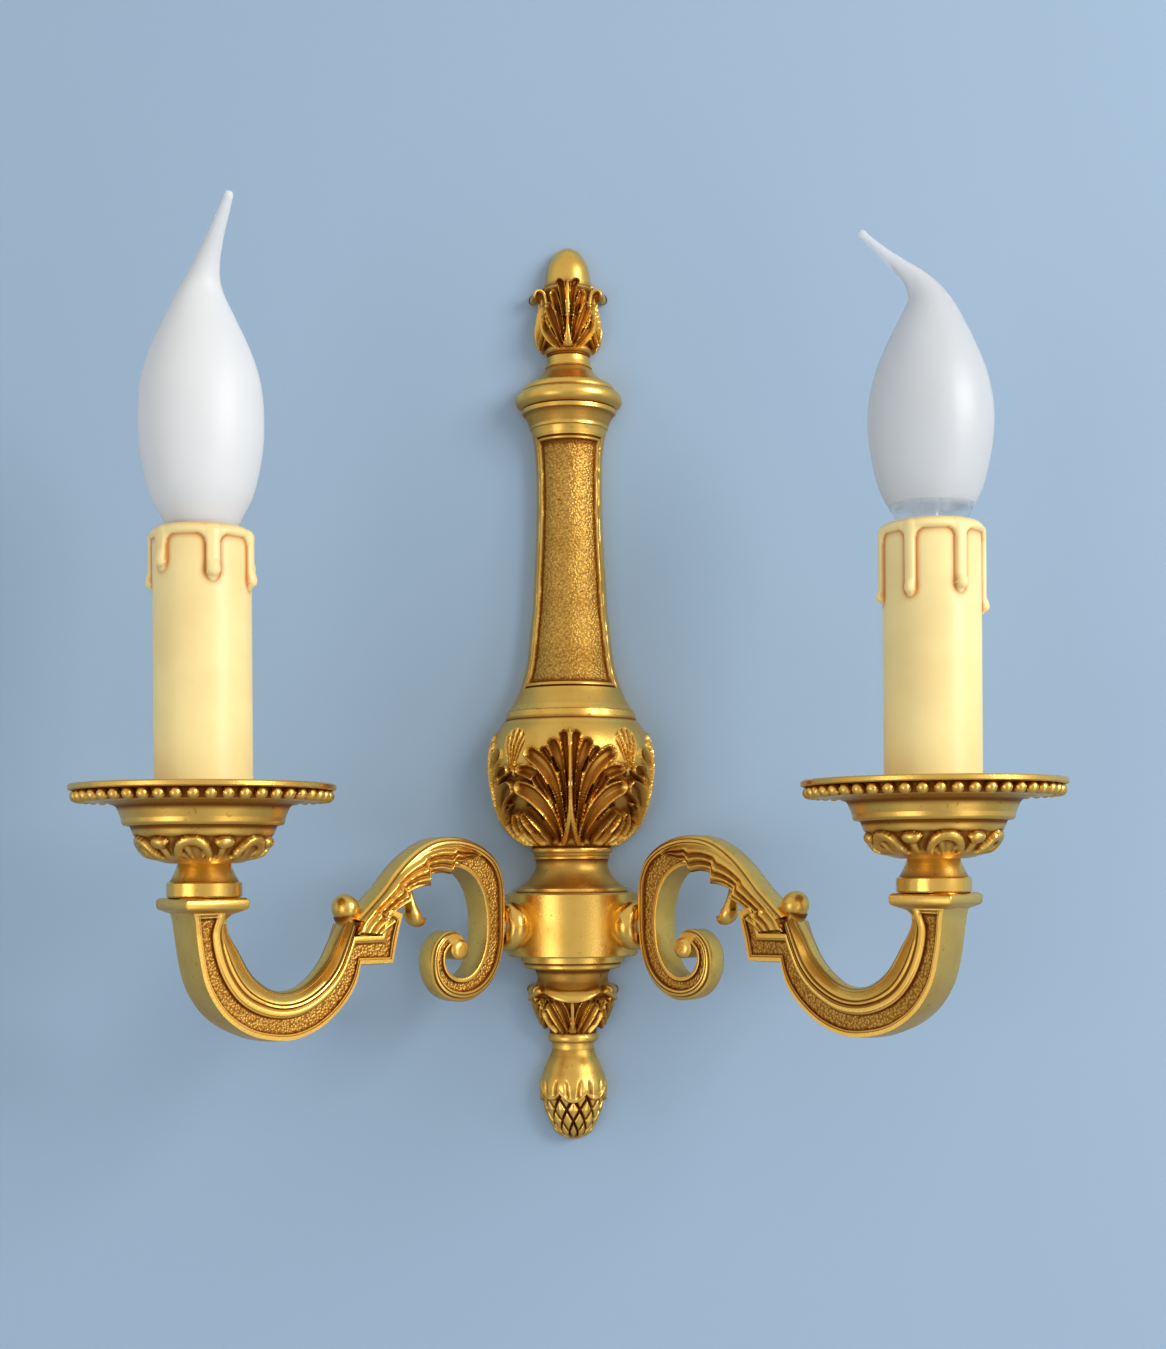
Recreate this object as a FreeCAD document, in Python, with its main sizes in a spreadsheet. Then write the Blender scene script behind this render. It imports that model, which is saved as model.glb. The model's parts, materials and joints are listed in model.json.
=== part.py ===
"""Double arm wall sconce: half-round brass column, two scrolled arms, two candle lamps.

Frame: millimetres, +Z up, the wall is the plane y = 0 and the light stands on its -Y side.
The origin is on the wall, where the screw's head enters the keyhole that it hangs by.
Levels are counted from the middle of the drum (the hub) that carries the arms, and each
finished piece is lowered so that the keyhole comes to the origin.
An arm and all that it carries is drawn in the arm's own frame: X runs out along the arm
from the drum's axis, and Z is up. Each piece is then turned about Z to its side.
"""
import FreeCAD, Part
import math
import os

Vector = FreeCAD.Vector
Rotation = FreeCAD.Rotation

SIZES = {
    # the drum and what stands above it, from the drum up
    "hub_radius": 21.3, "hub_height": 20.6, "hub_wall": 4.2, "hub_web": 2.6,
    "hub_neck_height": 12.7, "hub_waist_radius": 11.6, "hub_ledge_radius": 18.0,
    "neck_radius": 12.5,
    "vase_height": 57.0, "vase_radius": 26.7, "vase_ring_radius": 20.8,
    "vase_hollow_radius": 19.5, "vase_web": 9.0, "vase_neck_height": 10.6,
    "shaft_foot_radius": 14.9, "shaft_height": 81.0, "shaft_waist_radius": 10.65,
    "shaft_head_radius": 12.6, "panel_depth": 1.1, "panel_half_angle": 66.0,
    "panel_frame": 4.0,
    "collar_height": 22.3, "collar_radius": 17.3, "collar_torus": 3.0,
    "finial_neck_radius": 7.1, "finial_height": 38.0, "finial_cup_radius": 10.5,
    "finial_ear_radius": 12.4, "egg_radius": 7.2, "egg_height": 15.6,
    # below the drum
    "pendant_ring_radius": 15.8, "pendant_height": 29.0, "pendant_cup_radius": 14.5,
    "pendant_neck_radius": 6.8,
    "pine_height": 31.2, "pine_radius": 11.1, "pine_shoulder": 12.0,
    # studs and bolts between the castings
    "stud_radius": 2.0, "stud_clearance": 0.15, "stud_offset": 3.3, "stud_grip": 12.0,
    "bolt_head_radius": 3.2, "bolt_head_height": 2.8,
    # hanging plate across the back of the vase
    "hanger_width": 47.4, "hanger_height": 18.0, "hanger_thickness": 1.5,
    "hanger_play": 0.1, "keyhole_radius": 4.6, "keyhole_slot_radius": 2.3,
    "keyhole_rise": 6.5, "keyhole_drop": 2.5, "hanger_screw_radius": 1.25,
    "hanger_screw_head": 2.2, "hanger_screw_length": 8.0, "hanger_screw_edge": 2.6,
    # terminal block and earth screw
    "block_width": 12.0, "block_depth": 7.5, "block_height": 9.0, "block_gap": 1.7,
    "block_lift": 0.9, "terminal_radius": 1.3, "terminal_pitch_x": 6.0,
    "terminal_pitch_z": 4.4, "terminal_depth": 4.0, "earth_radius": 1.75,
    "earth_head": 2.9, "earth_head_height": 1.6, "earth_length": 8.0, "earth_side": 8.0,
    # arms
    "arm_angle": 38.6, "arm_reach": 132.0, "arm_width": 14.0, "scroll_width": 11.0,
    "ridge_width": 8.4, "recess_depth": 0.9, "collar_side": 19.0, "collar_top": 11.0,
    "collar_plate": 2.9, "collar_flare": 5.0, "ball_radius": 4.1, "ball_inset": 46.4,
    "ball_level": 6.7, "eye_radius": 3.3, "eye_width": 12.6, "bud_width": 6.4,
    "channel_radius": 2.3, "lead_radius": 1.6,
    # the clamp between arm and drum
    "boss_seat": 20.4, "boss_end": 29.4, "boss_radius": 8.1, "boss_foot_radius": 5.8,
    "boss_rim": 2.5, "boss_spot_play": 1.0, "arm_nipple_radius": 4.0, "arm_nipple_bore": 2.9,
    "arm_nipple_grip": 3.7, "arm_nut_flats": 13.0, "arm_nut_height": 3.0,
    "arm_nut_seat": 14.6, "thread_play": 0.1, "nipple_stand": 1.5, "lead_bend": 3.0,
    # the stack that stands on the arm's collar
    "spacer_height": 9.5, "spacer_radius": 10.6, "spacer_band": 4.4,
    "spacer_top_radius": 7.3,
    "cup_height": 12.8, "cup_foot_radius": 9.4, "cup_belly_radius": 20.8,
    "cup_rim_radius": 24.4, "cup_rim_height": 2.9, "cup_wall": 2.6,
    "pan_radius": 37.3, "pan_floor": 1.5, "pan_height": 10.5, "pan_lip": 3.2,
    "pan_dish_radius": 26.8, "pan_wall": 1.9, "bead_radius": 1.65, "bead_count": 48.0,
    "bead_circle": 35.0, "bead_sink": 0.8,
    "nipple_radius": 5.0, "nipple_bore": 3.4, "nipple_depth": 8.0, "nipple_rise": 9.2,
    "lock_nut_flats": 14.0, "lock_nut_height": 3.5,
    "sleeve_length": 80.0, "sleeve_bore": 12.15, "sleeve_radius": 13.8,
    "sleeve_shoulder": 2.4, "drip_stand": 0.6, "left_drip_radius": 2.3,
    "right_drip_radius": 1.7,
    # lampholder, E14
    "bracket_base_radius": 9.2, "bracket_base": 2.0, "bracket_leg": 1.4,
    "bracket_leg_width": 6.0, "bracket_height": 45.7, "bracket_span": 9.5,
    "holder_foot": 6.3, "holder_radius": 11.4, "holder_height": 26.0,
    "holder_floor": 8.0, "shell_radius": 8.1, "shell_bore": 7.35, "shell_height": 17.0,
    "contact_radius": 2.6, "contact_height": 2.0,
    # lamp
    "lamp_clearance": 0.3, "lamp_tip_radius": 2.4, "lamp_tip_height": 1.0,
    "insulator_radius": 5.0, "insulator_height": 1.9, "cap_radius": 6.95,
    "cap_height": 16.2, "cap_wall": 0.5, "cap_flare_radius": 8.4, "cap_flare": 1.2,
    "bulb_radius": 17.5, "bulb_neck_radius": 7.0, "bulb_height": 75.0,
    "bulb_bend": 20.0, "bulb_tip_height": 21.5, "bulb_tip_radius": 1.5,
    "bulb_wall": 0.8, "stem_radius": 3.2, "stem_height": 19.0,
    "wire_radius": 0.35, "wire_spread": 2.0, "wire_height": 21.0,
    "filament_rise": 6.0,
    "left_bulb_turn": -52.0, "right_bulb_turn": 184.0,
}

doc = FreeCAD.newDocument("WallSconce")
sheet = doc.addObject("Spreadsheet::Sheet", "Sizes")
for row, (alias, value) in enumerate(SIZES.items(), start=1):
    sheet.set("A%d" % row, alias)
    sheet.set("B%d" % row, str(value))
    sheet.setAlias("B%d" % row, alias)
doc.recompute()


class Sizes:
    """The driving dimensions as the sheet holds them."""

    def __getattr__(self, alias):
        return float(sheet.get(alias))


s = Sizes()

# levels on the column, from the drum's middle
HUB_TOP = s.hub_height / 2
NECK_TOP = HUB_TOP + s.hub_neck_height
VASE_TOP = NECK_TOP + s.vase_height
SHAFT_TOP = VASE_TOP + s.shaft_height
COLLAR_TOP = SHAFT_TOP + s.collar_height
FINIAL_TOP = COLLAR_TOP + s.finial_height
PENDANT_END = -HUB_TOP - s.pendant_height
PINE_END = PENDANT_END - s.pine_height
HANGER_LEVEL = NECK_TOP + s.vase_height / 2
# levels on a candle's axis
CUP_BASE = s.collar_top + s.spacer_height
PAN_BASE = CUP_BASE + s.cup_height
PAN_FLOOR = PAN_BASE + s.pan_floor
SLEEVE_TOP = PAN_FLOOR + s.sleeve_length
BRACKET_BASE = PAN_FLOOR + s.lock_nut_height
BRACKET_TOP = BRACKET_BASE + s.bracket_height
HOLDER_BASE = BRACKET_TOP - s.holder_foot
HOLDER_FLOOR = HOLDER_BASE + s.holder_floor
LAMP_BASE = HOLDER_FLOOR + s.contact_height + s.lamp_clearance
CAP_BASE = LAMP_BASE + s.lamp_tip_height + s.insulator_height + s.lamp_clearance
CAP_TOP = CAP_BASE + s.cap_height


class Outline:
    """A closed outline, drawn edge by edge in the plane of a sketch."""

    def __init__(self, x, y):
        self.start = Vector(x, y, 0)
        self.here = self.start
        self.edges = []

    def line(self, x, y):
        end = Vector(x, y, 0)
        self.edges.append(Part.LineSegment(self.here, end))
        self.here = end
        return self

    def arc(self, middle, end):
        middle, end = Vector(*middle, 0), Vector(*end, 0)
        self.edges.append(Part.Arc(self.here, middle, end))
        self.here = end
        return self

    def curve(self, *points):
        through = [self.here] + [Vector(x, y, 0) for x, y in points]
        spline = Part.BSplineCurve()
        spline.interpolate(through)
        self.edges.append(spline)
        self.here = through[-1]
        return self

    def close(self):
        return self.line(self.start.x, self.start.y)


def rectangle(x_low, y_low, x_high, y_high):
    return Outline(x_low, y_low).line(x_high, y_low).line(x_high, y_high).line(
        x_low, y_high).close()


def new_body(label):
    body = doc.addObject("PartDesign::Body", label)
    body.Label = label
    return body


def origin_plane(body, role):
    return next(plane for plane in body.Origin.OriginFeatures if plane.Role == role)


def sketch_on(body, role, outline, lift=0.0):
    """A sketch on one of the body's origin planes, lifted along that plane's normal."""
    sketch = body.newObject("Sketcher::SketchObject", body.Label + "_outline")
    sketch.AttachmentSupport = [(origin_plane(body, role), "")]
    sketch.MapMode = "FlatFace"
    sketch.AttachmentOffset = FreeCAD.Placement(Vector(0, 0, lift), Rotation())
    sketch.addGeometry(outline.edges, False)
    return sketch


def turned(body, outline, kind="Revolution", angle=360.0, axis="V_Axis"):
    """Turn an outline drawn in the XZ plane about Z, or about X for the H_Axis."""
    sketch = sketch_on(body, "XZ_Plane", outline)
    feature = body.newObject("PartDesign::" + kind, body.Label + "_turned")
    feature.Profile = sketch
    feature.ReferenceAxis = (sketch, [axis])
    feature.Angle = angle
    feature.Reversed = True
    return feature


def half_casting(label, outline):
    """A casting that is half round: its flat back lies on the wall."""
    body = new_body(label)
    turned(body, outline, angle=180.0)
    return body


def plate(body, outline, thickness, role="XZ_Plane", lift=0.0, symmetric=True):
    sketch = sketch_on(body, role, outline, lift)
    feature = body.newObject("PartDesign::Pad", body.Label + "_pad")
    feature.Profile = sketch
    feature.Midplane = symmetric
    bind(feature, "Length", thickness)
    return feature


def pocket(body, outline, depth, role="XZ_Plane", lift=0.0, reverse=False):
    sketch = sketch_on(body, role, outline, lift)
    feature = body.newObject("PartDesign::Pocket", body.Label + "_pocket")
    feature.Profile = sketch
    feature.Reversed = reverse
    bind(feature, "Length", depth)
    return feature


def bind(feature, name, size):
    """Give a feature's property a plain length, or an expression in the sheet's names."""
    if isinstance(size, str):
        feature.setExpression(name, size)
    else:
        setattr(feature, name, size)


def primitive(body, kind, centre, turn=None, **lengths):
    """A PartDesign primitive, such as a drilled hole, at a place in the body's frame."""
    doc.recompute()
    feature = body.newObject("PartDesign::" + kind, body.Label + "_" + kind.lower())
    feature.AttachmentSupport = [(origin_plane(body, "XY_Plane"), "")]
    feature.MapMode = "FlatFace"
    feature.AttachmentOffset = FreeCAD.Placement(Vector(*centre), turn or Rotation())
    for name, size in lengths.items():
        bind(feature, name, size)
    return feature


TOWARDS_X = Rotation(Vector(0, 1, 0), 90)
TOWARDS_Y = Rotation(Vector(1, 0, 0), -90)
TOWARDS_WALL_FRONT = Rotation(Vector(1, 0, 0), 90)


def arm_direction(side):
    """The turn about Z that takes the arm's own X out along the arm on that side."""
    return Rotation(Vector(0, 0, 1), arm_turn(side))


def arm_turn(side):
    return -s.arm_angle if side == "right" else 180.0 + s.arm_angle


def place_on_arm(body, side):
    """Turn a piece drawn in the arm's frame to its side."""
    body.setExpression(".Placement.Rotation.Angle",
                       "-Sizes.arm_angle" if side == "right" else "180 + Sizes.arm_angle")


def place_on_candle(body, side):
    """Stand a piece drawn about its own axis on the end of the arm."""
    sign = "1" if side == "right" else "-1"
    body.setExpression(".Placement.Base.x",
                       sign + " * Sizes.arm_reach * cos(Sizes.arm_angle * 1 deg)")
    body.setExpression(".Placement.Base.y",
                       "-1 * Sizes.arm_reach * sin(Sizes.arm_angle * 1 deg)")
    body.setExpression(".Placement.Rotation.Angle",
                       "-Sizes.arm_angle" if side == "right" else "180 + Sizes.arm_angle")


def stud_hole(body, low, high, radius):
    """A hole along Z for a stud or bolt between two castings."""
    primitive(body, "SubtractiveCylinder", (0, -s.stud_offset, low), Radius=radius,
              Height=high - low)


KEYHOLE_DROP = ("-1 * (Sizes.hub_height / 2 + Sizes.hub_neck_height"
                " + Sizes.vase_height / 2 - Sizes.keyhole_drop)")
TAPPED = "Sizes.stud_radius + Sizes.thread_play"
CLEAR = "Sizes.stud_radius + Sizes.stud_clearance"


# ---------------------------------------------------------------- the column

def top_finial():
    """The egg in its leaf cup, on a ringed neck."""
    base, top = COLLAR_TOP, FINIAL_TOP
    shoulder = top - s.egg_height
    body = half_casting("top_finial", (
        Outline(0, base)
        .line(s.finial_neck_radius, base)
        .line(s.finial_neck_radius + 0.9, base + 2.2)
        .curve((s.finial_cup_radius - 0.8, base + 6.0), (s.finial_cup_radius, base + 10.8),
               (s.finial_cup_radius - 1.2, base + 17.6))
        .line(s.finial_ear_radius, shoulder - 0.4)
        .line(s.finial_ear_radius - 1.1, shoulder + 2.4)
        .line(s.egg_radius, shoulder + 3.4)
        .curve((s.egg_radius * 0.92, shoulder + 8.6), (s.egg_radius * 0.6, top - 2.6), (0, top))
        .close()))
    stud_hole(body, base, base + s.stud_grip, TAPPED)
    return body


def column_collar():
    """The stepped ring and flare that carry the finial."""
    base, top = SHAFT_TOP, COLLAR_TOP
    ring = top - 12.3
    body = half_casting("column_collar", (
        Outline(0, base)
        .line(s.shaft_head_radius, base)
        .line(s.shaft_head_radius + 0.3, base + 1.0)
        .curve((s.collar_radius * 0.86, base + 4.6), (s.collar_radius * 0.95, base + 7.4))
        .arc((s.collar_radius, ring), (s.collar_radius * 0.93, ring + s.collar_torus))
        .line(s.collar_radius * 0.86, ring + s.collar_torus + 0.8)
        .line(s.collar_radius * 0.85, ring + s.collar_torus + 1.9)
        .curve((s.collar_radius * 0.66, ring + 6.5), (s.finial_neck_radius + 1.4, ring + 8.5),
               (s.finial_neck_radius, ring + 10.8))
        .line(s.finial_neck_radius, top)
        .line(0, top)
        .close()))
    stud_hole(body, base, top, CLEAR)
    return body


def shaft_radius(level):
    """The shaft's radius: slim above the middle, swelling to its foot and head."""
    share = (level - VASE_TOP) / s.shaft_height
    foot = (s.shaft_foot_radius - s.shaft_waist_radius) * max(0.0, 1 - share / 0.7) ** 1.5
    head = (s.shaft_head_radius - s.shaft_waist_radius) * max(0.0, (share - 0.82) / 0.18) ** 2
    return s.shaft_waist_radius + foot + head


def column_shaft():
    """The slim shaft, with a sunk panel round its front between two frames."""
    steps = 10
    levels = [VASE_TOP + s.shaft_height * step / steps for step in range(steps + 1)]
    body = half_casting("column_shaft", (
        Outline(0, VASE_TOP)
        .line(shaft_radius(VASE_TOP), VASE_TOP)
        .curve(*[(shaft_radius(level), level) for level in levels[1:]])
        .line(0, SHAFT_TOP)
        .close()))
    low, high = VASE_TOP + s.panel_frame, SHAFT_TOP - s.panel_frame
    sunk = [low + (high - low) * step / steps for step in range(steps + 1)]
    ring = (Outline(-s.vase_radius, low)
            .line(s.panel_depth - shaft_radius(low), low)
            .curve(*[(s.panel_depth - shaft_radius(level), level) for level in sunk[1:]])
            .line(-s.vase_radius, high)
            .close())
    sketch = sketch_on(body, "YZ_Plane", ring)
    panel = body.newObject("PartDesign::Groove", "panel")
    panel.Profile = sketch
    panel.ReferenceAxis = (sketch, ["V_Axis"])
    panel.Midplane = True
    panel.setExpression("Angle", "2 * Sizes.panel_half_angle")
    stud_hole(body, VASE_TOP, VASE_TOP + s.stud_grip, TAPPED)
    stud_hole(body, SHAFT_TOP - s.stud_grip, SHAFT_TOP, TAPPED)
    return body


def vase():
    """The bellied casting, hollow behind, where the hanging plate and the supply go."""
    base, top = NECK_TOP, VASE_TOP
    ring = top - s.vase_neck_height
    belly = base + 0.5 * s.vase_height
    body = half_casting("vase", (
        Outline(0, base)
        .line(s.neck_radius, base)
        .curve((s.vase_radius * 0.6, base + 3.1), (s.vase_radius * 0.87, base + 11.0),
               (s.vase_radius, belly), (s.vase_radius * 0.94, belly + 9.0),
               (s.vase_ring_radius + 0.5, ring - 2.0))
        .line(s.vase_ring_radius, ring - 0.6)
        .line(s.vase_ring_radius, ring + 0.6)
        .curve((s.vase_ring_radius * 0.83, ring + 5.2), (s.shaft_foot_radius + 0.8, top - 1.6))
        .line(s.shaft_foot_radius, top)
        .line(0, top)
        .close()))
    low, high = vase_hollow()
    hollow = s.vase_hollow_radius
    turned(body, (
        Outline(0, low)
        .line(hollow * 0.6, low)
        .curve((hollow * 0.92, low + 6.0), (hollow, belly), (hollow * 0.9, high - 4.0),
               (hollow * 0.7, high))
        .line(0, high)
        .close()), kind="Groove")
    half = s.hanger_width / 2 + s.hanger_play
    rise = s.hanger_height / 2 + s.hanger_play
    pocket(body, rectangle(-half, HANGER_LEVEL - rise, half, HANGER_LEVEL + rise),
           "Sizes.hanger_thickness", reverse=True)
    for x in hanger_screw_places():
        primitive(body, "SubtractiveCylinder", (x, 0, HANGER_LEVEL), TOWARDS_WALL_FRONT,
                  Radius="Sizes.hanger_screw_radius + Sizes.thread_play",
                  Height="Sizes.hanger_screw_length + 1")
    primitive(body, "SubtractiveCylinder", (s.earth_side, 0, earth_level()),
              TOWARDS_WALL_FRONT, Radius="Sizes.earth_radius + Sizes.thread_play",
              Height="Sizes.earth_length + 1")
    primitive(body, "SubtractiveCylinder", (s.earth_side, 0, earth_level()),
              TOWARDS_WALL_FRONT, Radius="Sizes.earth_head + Sizes.thread_play",
              Height="Sizes.earth_head_height")
    stud_hole(body, base, low, CLEAR)
    stud_hole(body, high, top, CLEAR)
    return body


def vase_hollow():
    """The lowest and highest level of the hollow behind the vase."""
    return NECK_TOP + s.vase_web, VASE_TOP - s.vase_neck_height - s.stud_radius


def hanger_screw_places():
    reach = s.hanger_width / 2 - s.hanger_screw_edge
    return -reach, reach


def earth_level():
    return NECK_TOP + 0.6 * s.vase_web


def hub():
    """The drum and its waisted neck. The arms are clamped through its wall."""
    half, top = HUB_TOP, NECK_TOP
    body = half_casting("hub", (
        Outline(0, -half)
        .line(s.hub_radius - 0.5, -half)
        .line(s.hub_radius, -half + 0.5)
        .line(s.hub_radius, half - 0.5)
        .line(s.hub_radius - 0.5, half)
        .line(s.hub_ledge_radius, half)
        .line(s.hub_ledge_radius, half + 1.4)
        .curve((s.hub_waist_radius + 3.4, half + 3.8), (s.hub_waist_radius + 0.6, half + 7.2),
               (s.hub_waist_radius, half + 9.4))
        .line(s.neck_radius, half + 11.0)
        .line(s.neck_radius, top)
        .line(0, top)
        .close()))
    inner, web = s.hub_radius - s.hub_wall, half - s.hub_web
    turned(body, rectangle(0, -web, inner, web), kind="Groove")
    for side in SIDES:
        direction = arm_direction(side)
        tube = direction.multiply(TOWARDS_X)
        seat = direction.multVec(Vector(s.arm_nut_seat, 0, 0))
        primitive(body, "AdditiveCylinder", tuple(seat), tube,
                  Radius="Sizes.arm_nut_flats / 2 + 0.6",
                  Height="Sizes.hub_radius - Sizes.arm_nut_seat - 1.5")
    rear = -s.block_gap - s.block_depth
    primitive(body, "AdditiveBox", (-s.block_width / 4, -inner - 1, -s.block_height / 4),
              Length="Sizes.block_width / 2", Width=rear + inner + 1,
              Height="Sizes.block_height / 2")
    for side in SIDES:
        direction = arm_direction(side)
        tube = direction.multiply(TOWARDS_X)
        start = direction.multVec(Vector(s.arm_nut_seat - s.arm_nut_height, 0, 0))
        primitive(body, "SubtractiveCylinder", tuple(start), tube,
                  Radius="Sizes.arm_nipple_radius + Sizes.thread_play",
                  Height="Sizes.hub_radius - Sizes.arm_nut_seat + Sizes.arm_nut_height")
        spot = direction.multVec(Vector(s.boss_seat, 0, 0))
        primitive(body, "SubtractiveCylinder", tuple(spot), tube,
                  Radius="Sizes.boss_foot_radius + Sizes.boss_spot_play",
                  Height="Sizes.hub_radius - Sizes.boss_seat + 2")
    stud_hole(body, web, top, TAPPED)
    stud_hole(body, -half, -web, CLEAR)
    return body


def pendant_cup():
    """The ring, neck and leafed cup under the drum."""
    top, end = -HUB_TOP, PENDANT_END
    rim = top - 11.6
    body = half_casting("pendant_cup", (
        Outline(0, top)
        .line(s.hub_radius * 0.8, top)
        .line(s.hub_radius * 0.8, top - 1.2)
        .line(s.pendant_ring_radius, top - 1.8)
        .line(s.pendant_ring_radius, top - 3.7)
        .curve((s.pendant_cup_radius * 0.83, top - 5.4),
               (s.pendant_cup_radius * 0.8, top - 7.4),
               (s.pendant_cup_radius, rim))
        .curve((s.pendant_cup_radius * 0.9, rim - 4.2), (s.pendant_cup_radius * 0.77, rim - 8.6),
               (s.pendant_neck_radius + 0.9, end + 4.2))
        .line(s.pendant_neck_radius, end)
        .line(0, end)
        .close()))
    stud_hole(body, end, top, CLEAR)
    return body


def pine_finial():
    """The pine-cone drop."""
    top, end = PENDANT_END, PINE_END
    widest = top - s.pine_shoulder
    body = half_casting("pine_finial", (
        Outline(0, top)
        .line(s.pendant_neck_radius, top)
        .line(s.pendant_neck_radius, top - 2.2)
        .curve((s.pine_radius * 0.85, top - 6.6), (s.pine_radius, widest),
               (s.pine_radius * 0.92, widest - 5.6), (s.pine_radius * 0.68, end + 5.6),
               (0, end))
        .close()))
    stud_hole(body, top - s.stud_grip, top, TAPPED)
    return body


def stud(label, low, high):
    """A headless threaded stud between two castings."""
    body = new_body(label)
    primitive(body, "AdditiveCylinder", (0, -s.stud_offset, low),
              Radius="Sizes.stud_radius", Height=high - low)
    return body


def bolt(label, seat, tip):
    """A bolt whose head sits at one level and whose shank ends at another."""
    body = new_body(label)
    outwards = 1.0 if seat > tip else -1.0
    head_low = min(seat, seat + outwards * s.bolt_head_height)
    primitive(body, "AdditiveCylinder", (0, -s.stud_offset, min(seat, tip)),
              Radius="Sizes.stud_radius", Height=abs(seat - tip))
    primitive(body, "AdditiveCylinder", (0, -s.stud_offset, head_low),
              Radius="Sizes.bolt_head_radius", Height="Sizes.bolt_head_height")
    return body


def column_fixings():
    low, high = vase_hollow()
    grip = s.stud_grip - 1.0
    web = HUB_TOP - s.hub_web
    return [
        stud("upper_stud", SHAFT_TOP - grip, COLLAR_TOP + grip),
        bolt("shaft_bolt", high, VASE_TOP + grip),
        bolt("vase_bolt", low, web + 1.0),
        bolt("pendant_bolt", -web, PENDANT_END - grip),
    ]


def hanger_plate():
    """The keyhole plate across the back of the vase, flush with the wall."""
    body = new_body("hanger_plate")
    half, rise = s.hanger_width / 2, s.hanger_height / 2
    plate(body, rectangle(-half, HANGER_LEVEL - rise, half, HANGER_LEVEL + rise),
          "Sizes.hanger_thickness", symmetric=False)
    centre = HANGER_LEVEL - s.keyhole_drop
    slot, top = s.keyhole_slot_radius, centre + s.keyhole_rise
    pocket(body, (Outline(-slot, centre).line(slot, centre).line(slot, top)
                  .arc((0, top + slot), (-slot, top)).close()),
           "Sizes.hanger_thickness * 2", lift=-s.hanger_thickness / 2, reverse=True)
    primitive(body, "SubtractiveCylinder", (0, 1, centre), TOWARDS_WALL_FRONT,
              Radius="Sizes.keyhole_radius", Height="Sizes.hanger_thickness + 2")
    for x in hanger_screw_places():
        primitive(body, "SubtractiveCone", (x, 0, HANGER_LEVEL), TOWARDS_WALL_FRONT,
                  Radius1="Sizes.hanger_screw_head + Sizes.thread_play",
                  Radius2="Sizes.hanger_screw_radius + Sizes.thread_play",
                  Height="Sizes.hanger_thickness")
    return body


def group(label, solids):
    """Several identical solids in one node."""
    compound = doc.addObject("Part::Compound", label)
    compound.Label = label
    compound.Links = solids
    return compound


def hanger_screws():
    solids = []
    for number, x in enumerate(hanger_screw_places()):
        screw = doc.addObject("PartDesign::Body", "hanger_screw_%d" % number)
        primitive(screw, "AdditiveCone", (x, 0, HANGER_LEVEL), TOWARDS_WALL_FRONT,
                  Radius1="Sizes.hanger_screw_head", Radius2="Sizes.hanger_screw_radius",
                  Height="Sizes.hanger_thickness")
        primitive(screw, "AdditiveCylinder", (x, 0, HANGER_LEVEL), TOWARDS_WALL_FRONT,
                  Radius="Sizes.hanger_screw_radius", Height="Sizes.hanger_screw_length")
        solids.append(screw)
    return group("hanger_screws", solids)


def terminal_places():
    half_x, half_z = s.terminal_pitch_x / 2, s.terminal_pitch_z / 2
    return [(x, s.block_lift + z) for x in (-half_x, half_x) for z in (-half_z, half_z)]


def terminal_block():
    """The plastic block in the drum, its screws facing the wall."""
    body = new_body("terminal_block")
    front = -s.block_gap - s.block_depth
    primitive(body, "AdditiveBox",
              (-s.block_width / 2, front, s.block_lift - s.block_height / 2),
              Length="Sizes.block_width", Width="Sizes.block_depth",
              Height="Sizes.block_height")
    for x, z in terminal_places():
        primitive(body, "SubtractiveCylinder", (x, -s.block_gap, z), TOWARDS_WALL_FRONT,
                  Radius="Sizes.terminal_radius + Sizes.thread_play",
                  Height="Sizes.terminal_depth")
    return body


def terminal_screws():
    solids = []
    for number, (x, z) in enumerate(terminal_places()):
        screw = doc.addObject("PartDesign::Body", "terminal_screw_%d" % number)
        primitive(screw, "AdditiveCylinder", (x, -s.block_gap - 0.5, z), TOWARDS_WALL_FRONT,
                  Radius="Sizes.terminal_radius", Height="Sizes.terminal_depth - 0.5")
        primitive(screw, "SubtractiveBox", (x - 0.25, -s.block_gap - 1.1, z - 2),
                  Length=0.5, Width=1.0, Height=4.0)
        solids.append(screw)
    return group("terminal_screws", solids)


def earth_screw():
    body = new_body("earth_screw")
    place = (s.earth_side, -0.1, earth_level())
    primitive(body, "AdditiveCylinder", place, TOWARDS_WALL_FRONT,
              Radius="Sizes.earth_head", Height="Sizes.earth_head_height - 0.1")
    primitive(body, "AdditiveCylinder", place, TOWARDS_WALL_FRONT,
              Radius="Sizes.earth_radius", Height="Sizes.earth_length")
    primitive(body, "SubtractiveBox", (s.earth_side - 0.4, -0.9, earth_level() - 4),
              Length=0.8, Width=2.0, Height=8.0)
    return body


# ---------------------------------------------------------------- one arm

CREST_DRAWN = (29.4, 85.6)


def along(drawn):
    """How far out a point of the crest comes.

    The crest and its scroll are drawn between a boss that ends at 29.4 and a ball at 85.6.
    They stretch between the boss and the ball of the arm that is built, while the U-bend,
    which is drawn inwards from the candle's axis, keeps its size.
    """
    start, end = CREST_DRAWN
    ball = s.arm_reach - s.ball_inset
    return s.boss_end + (drawn - start) * (ball - s.boss_end) / (end - start)


def crest_points(*points):
    """Points drawn on the usual crest, where they come on this one."""
    return [(along(out), level) for out, level in points]


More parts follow.
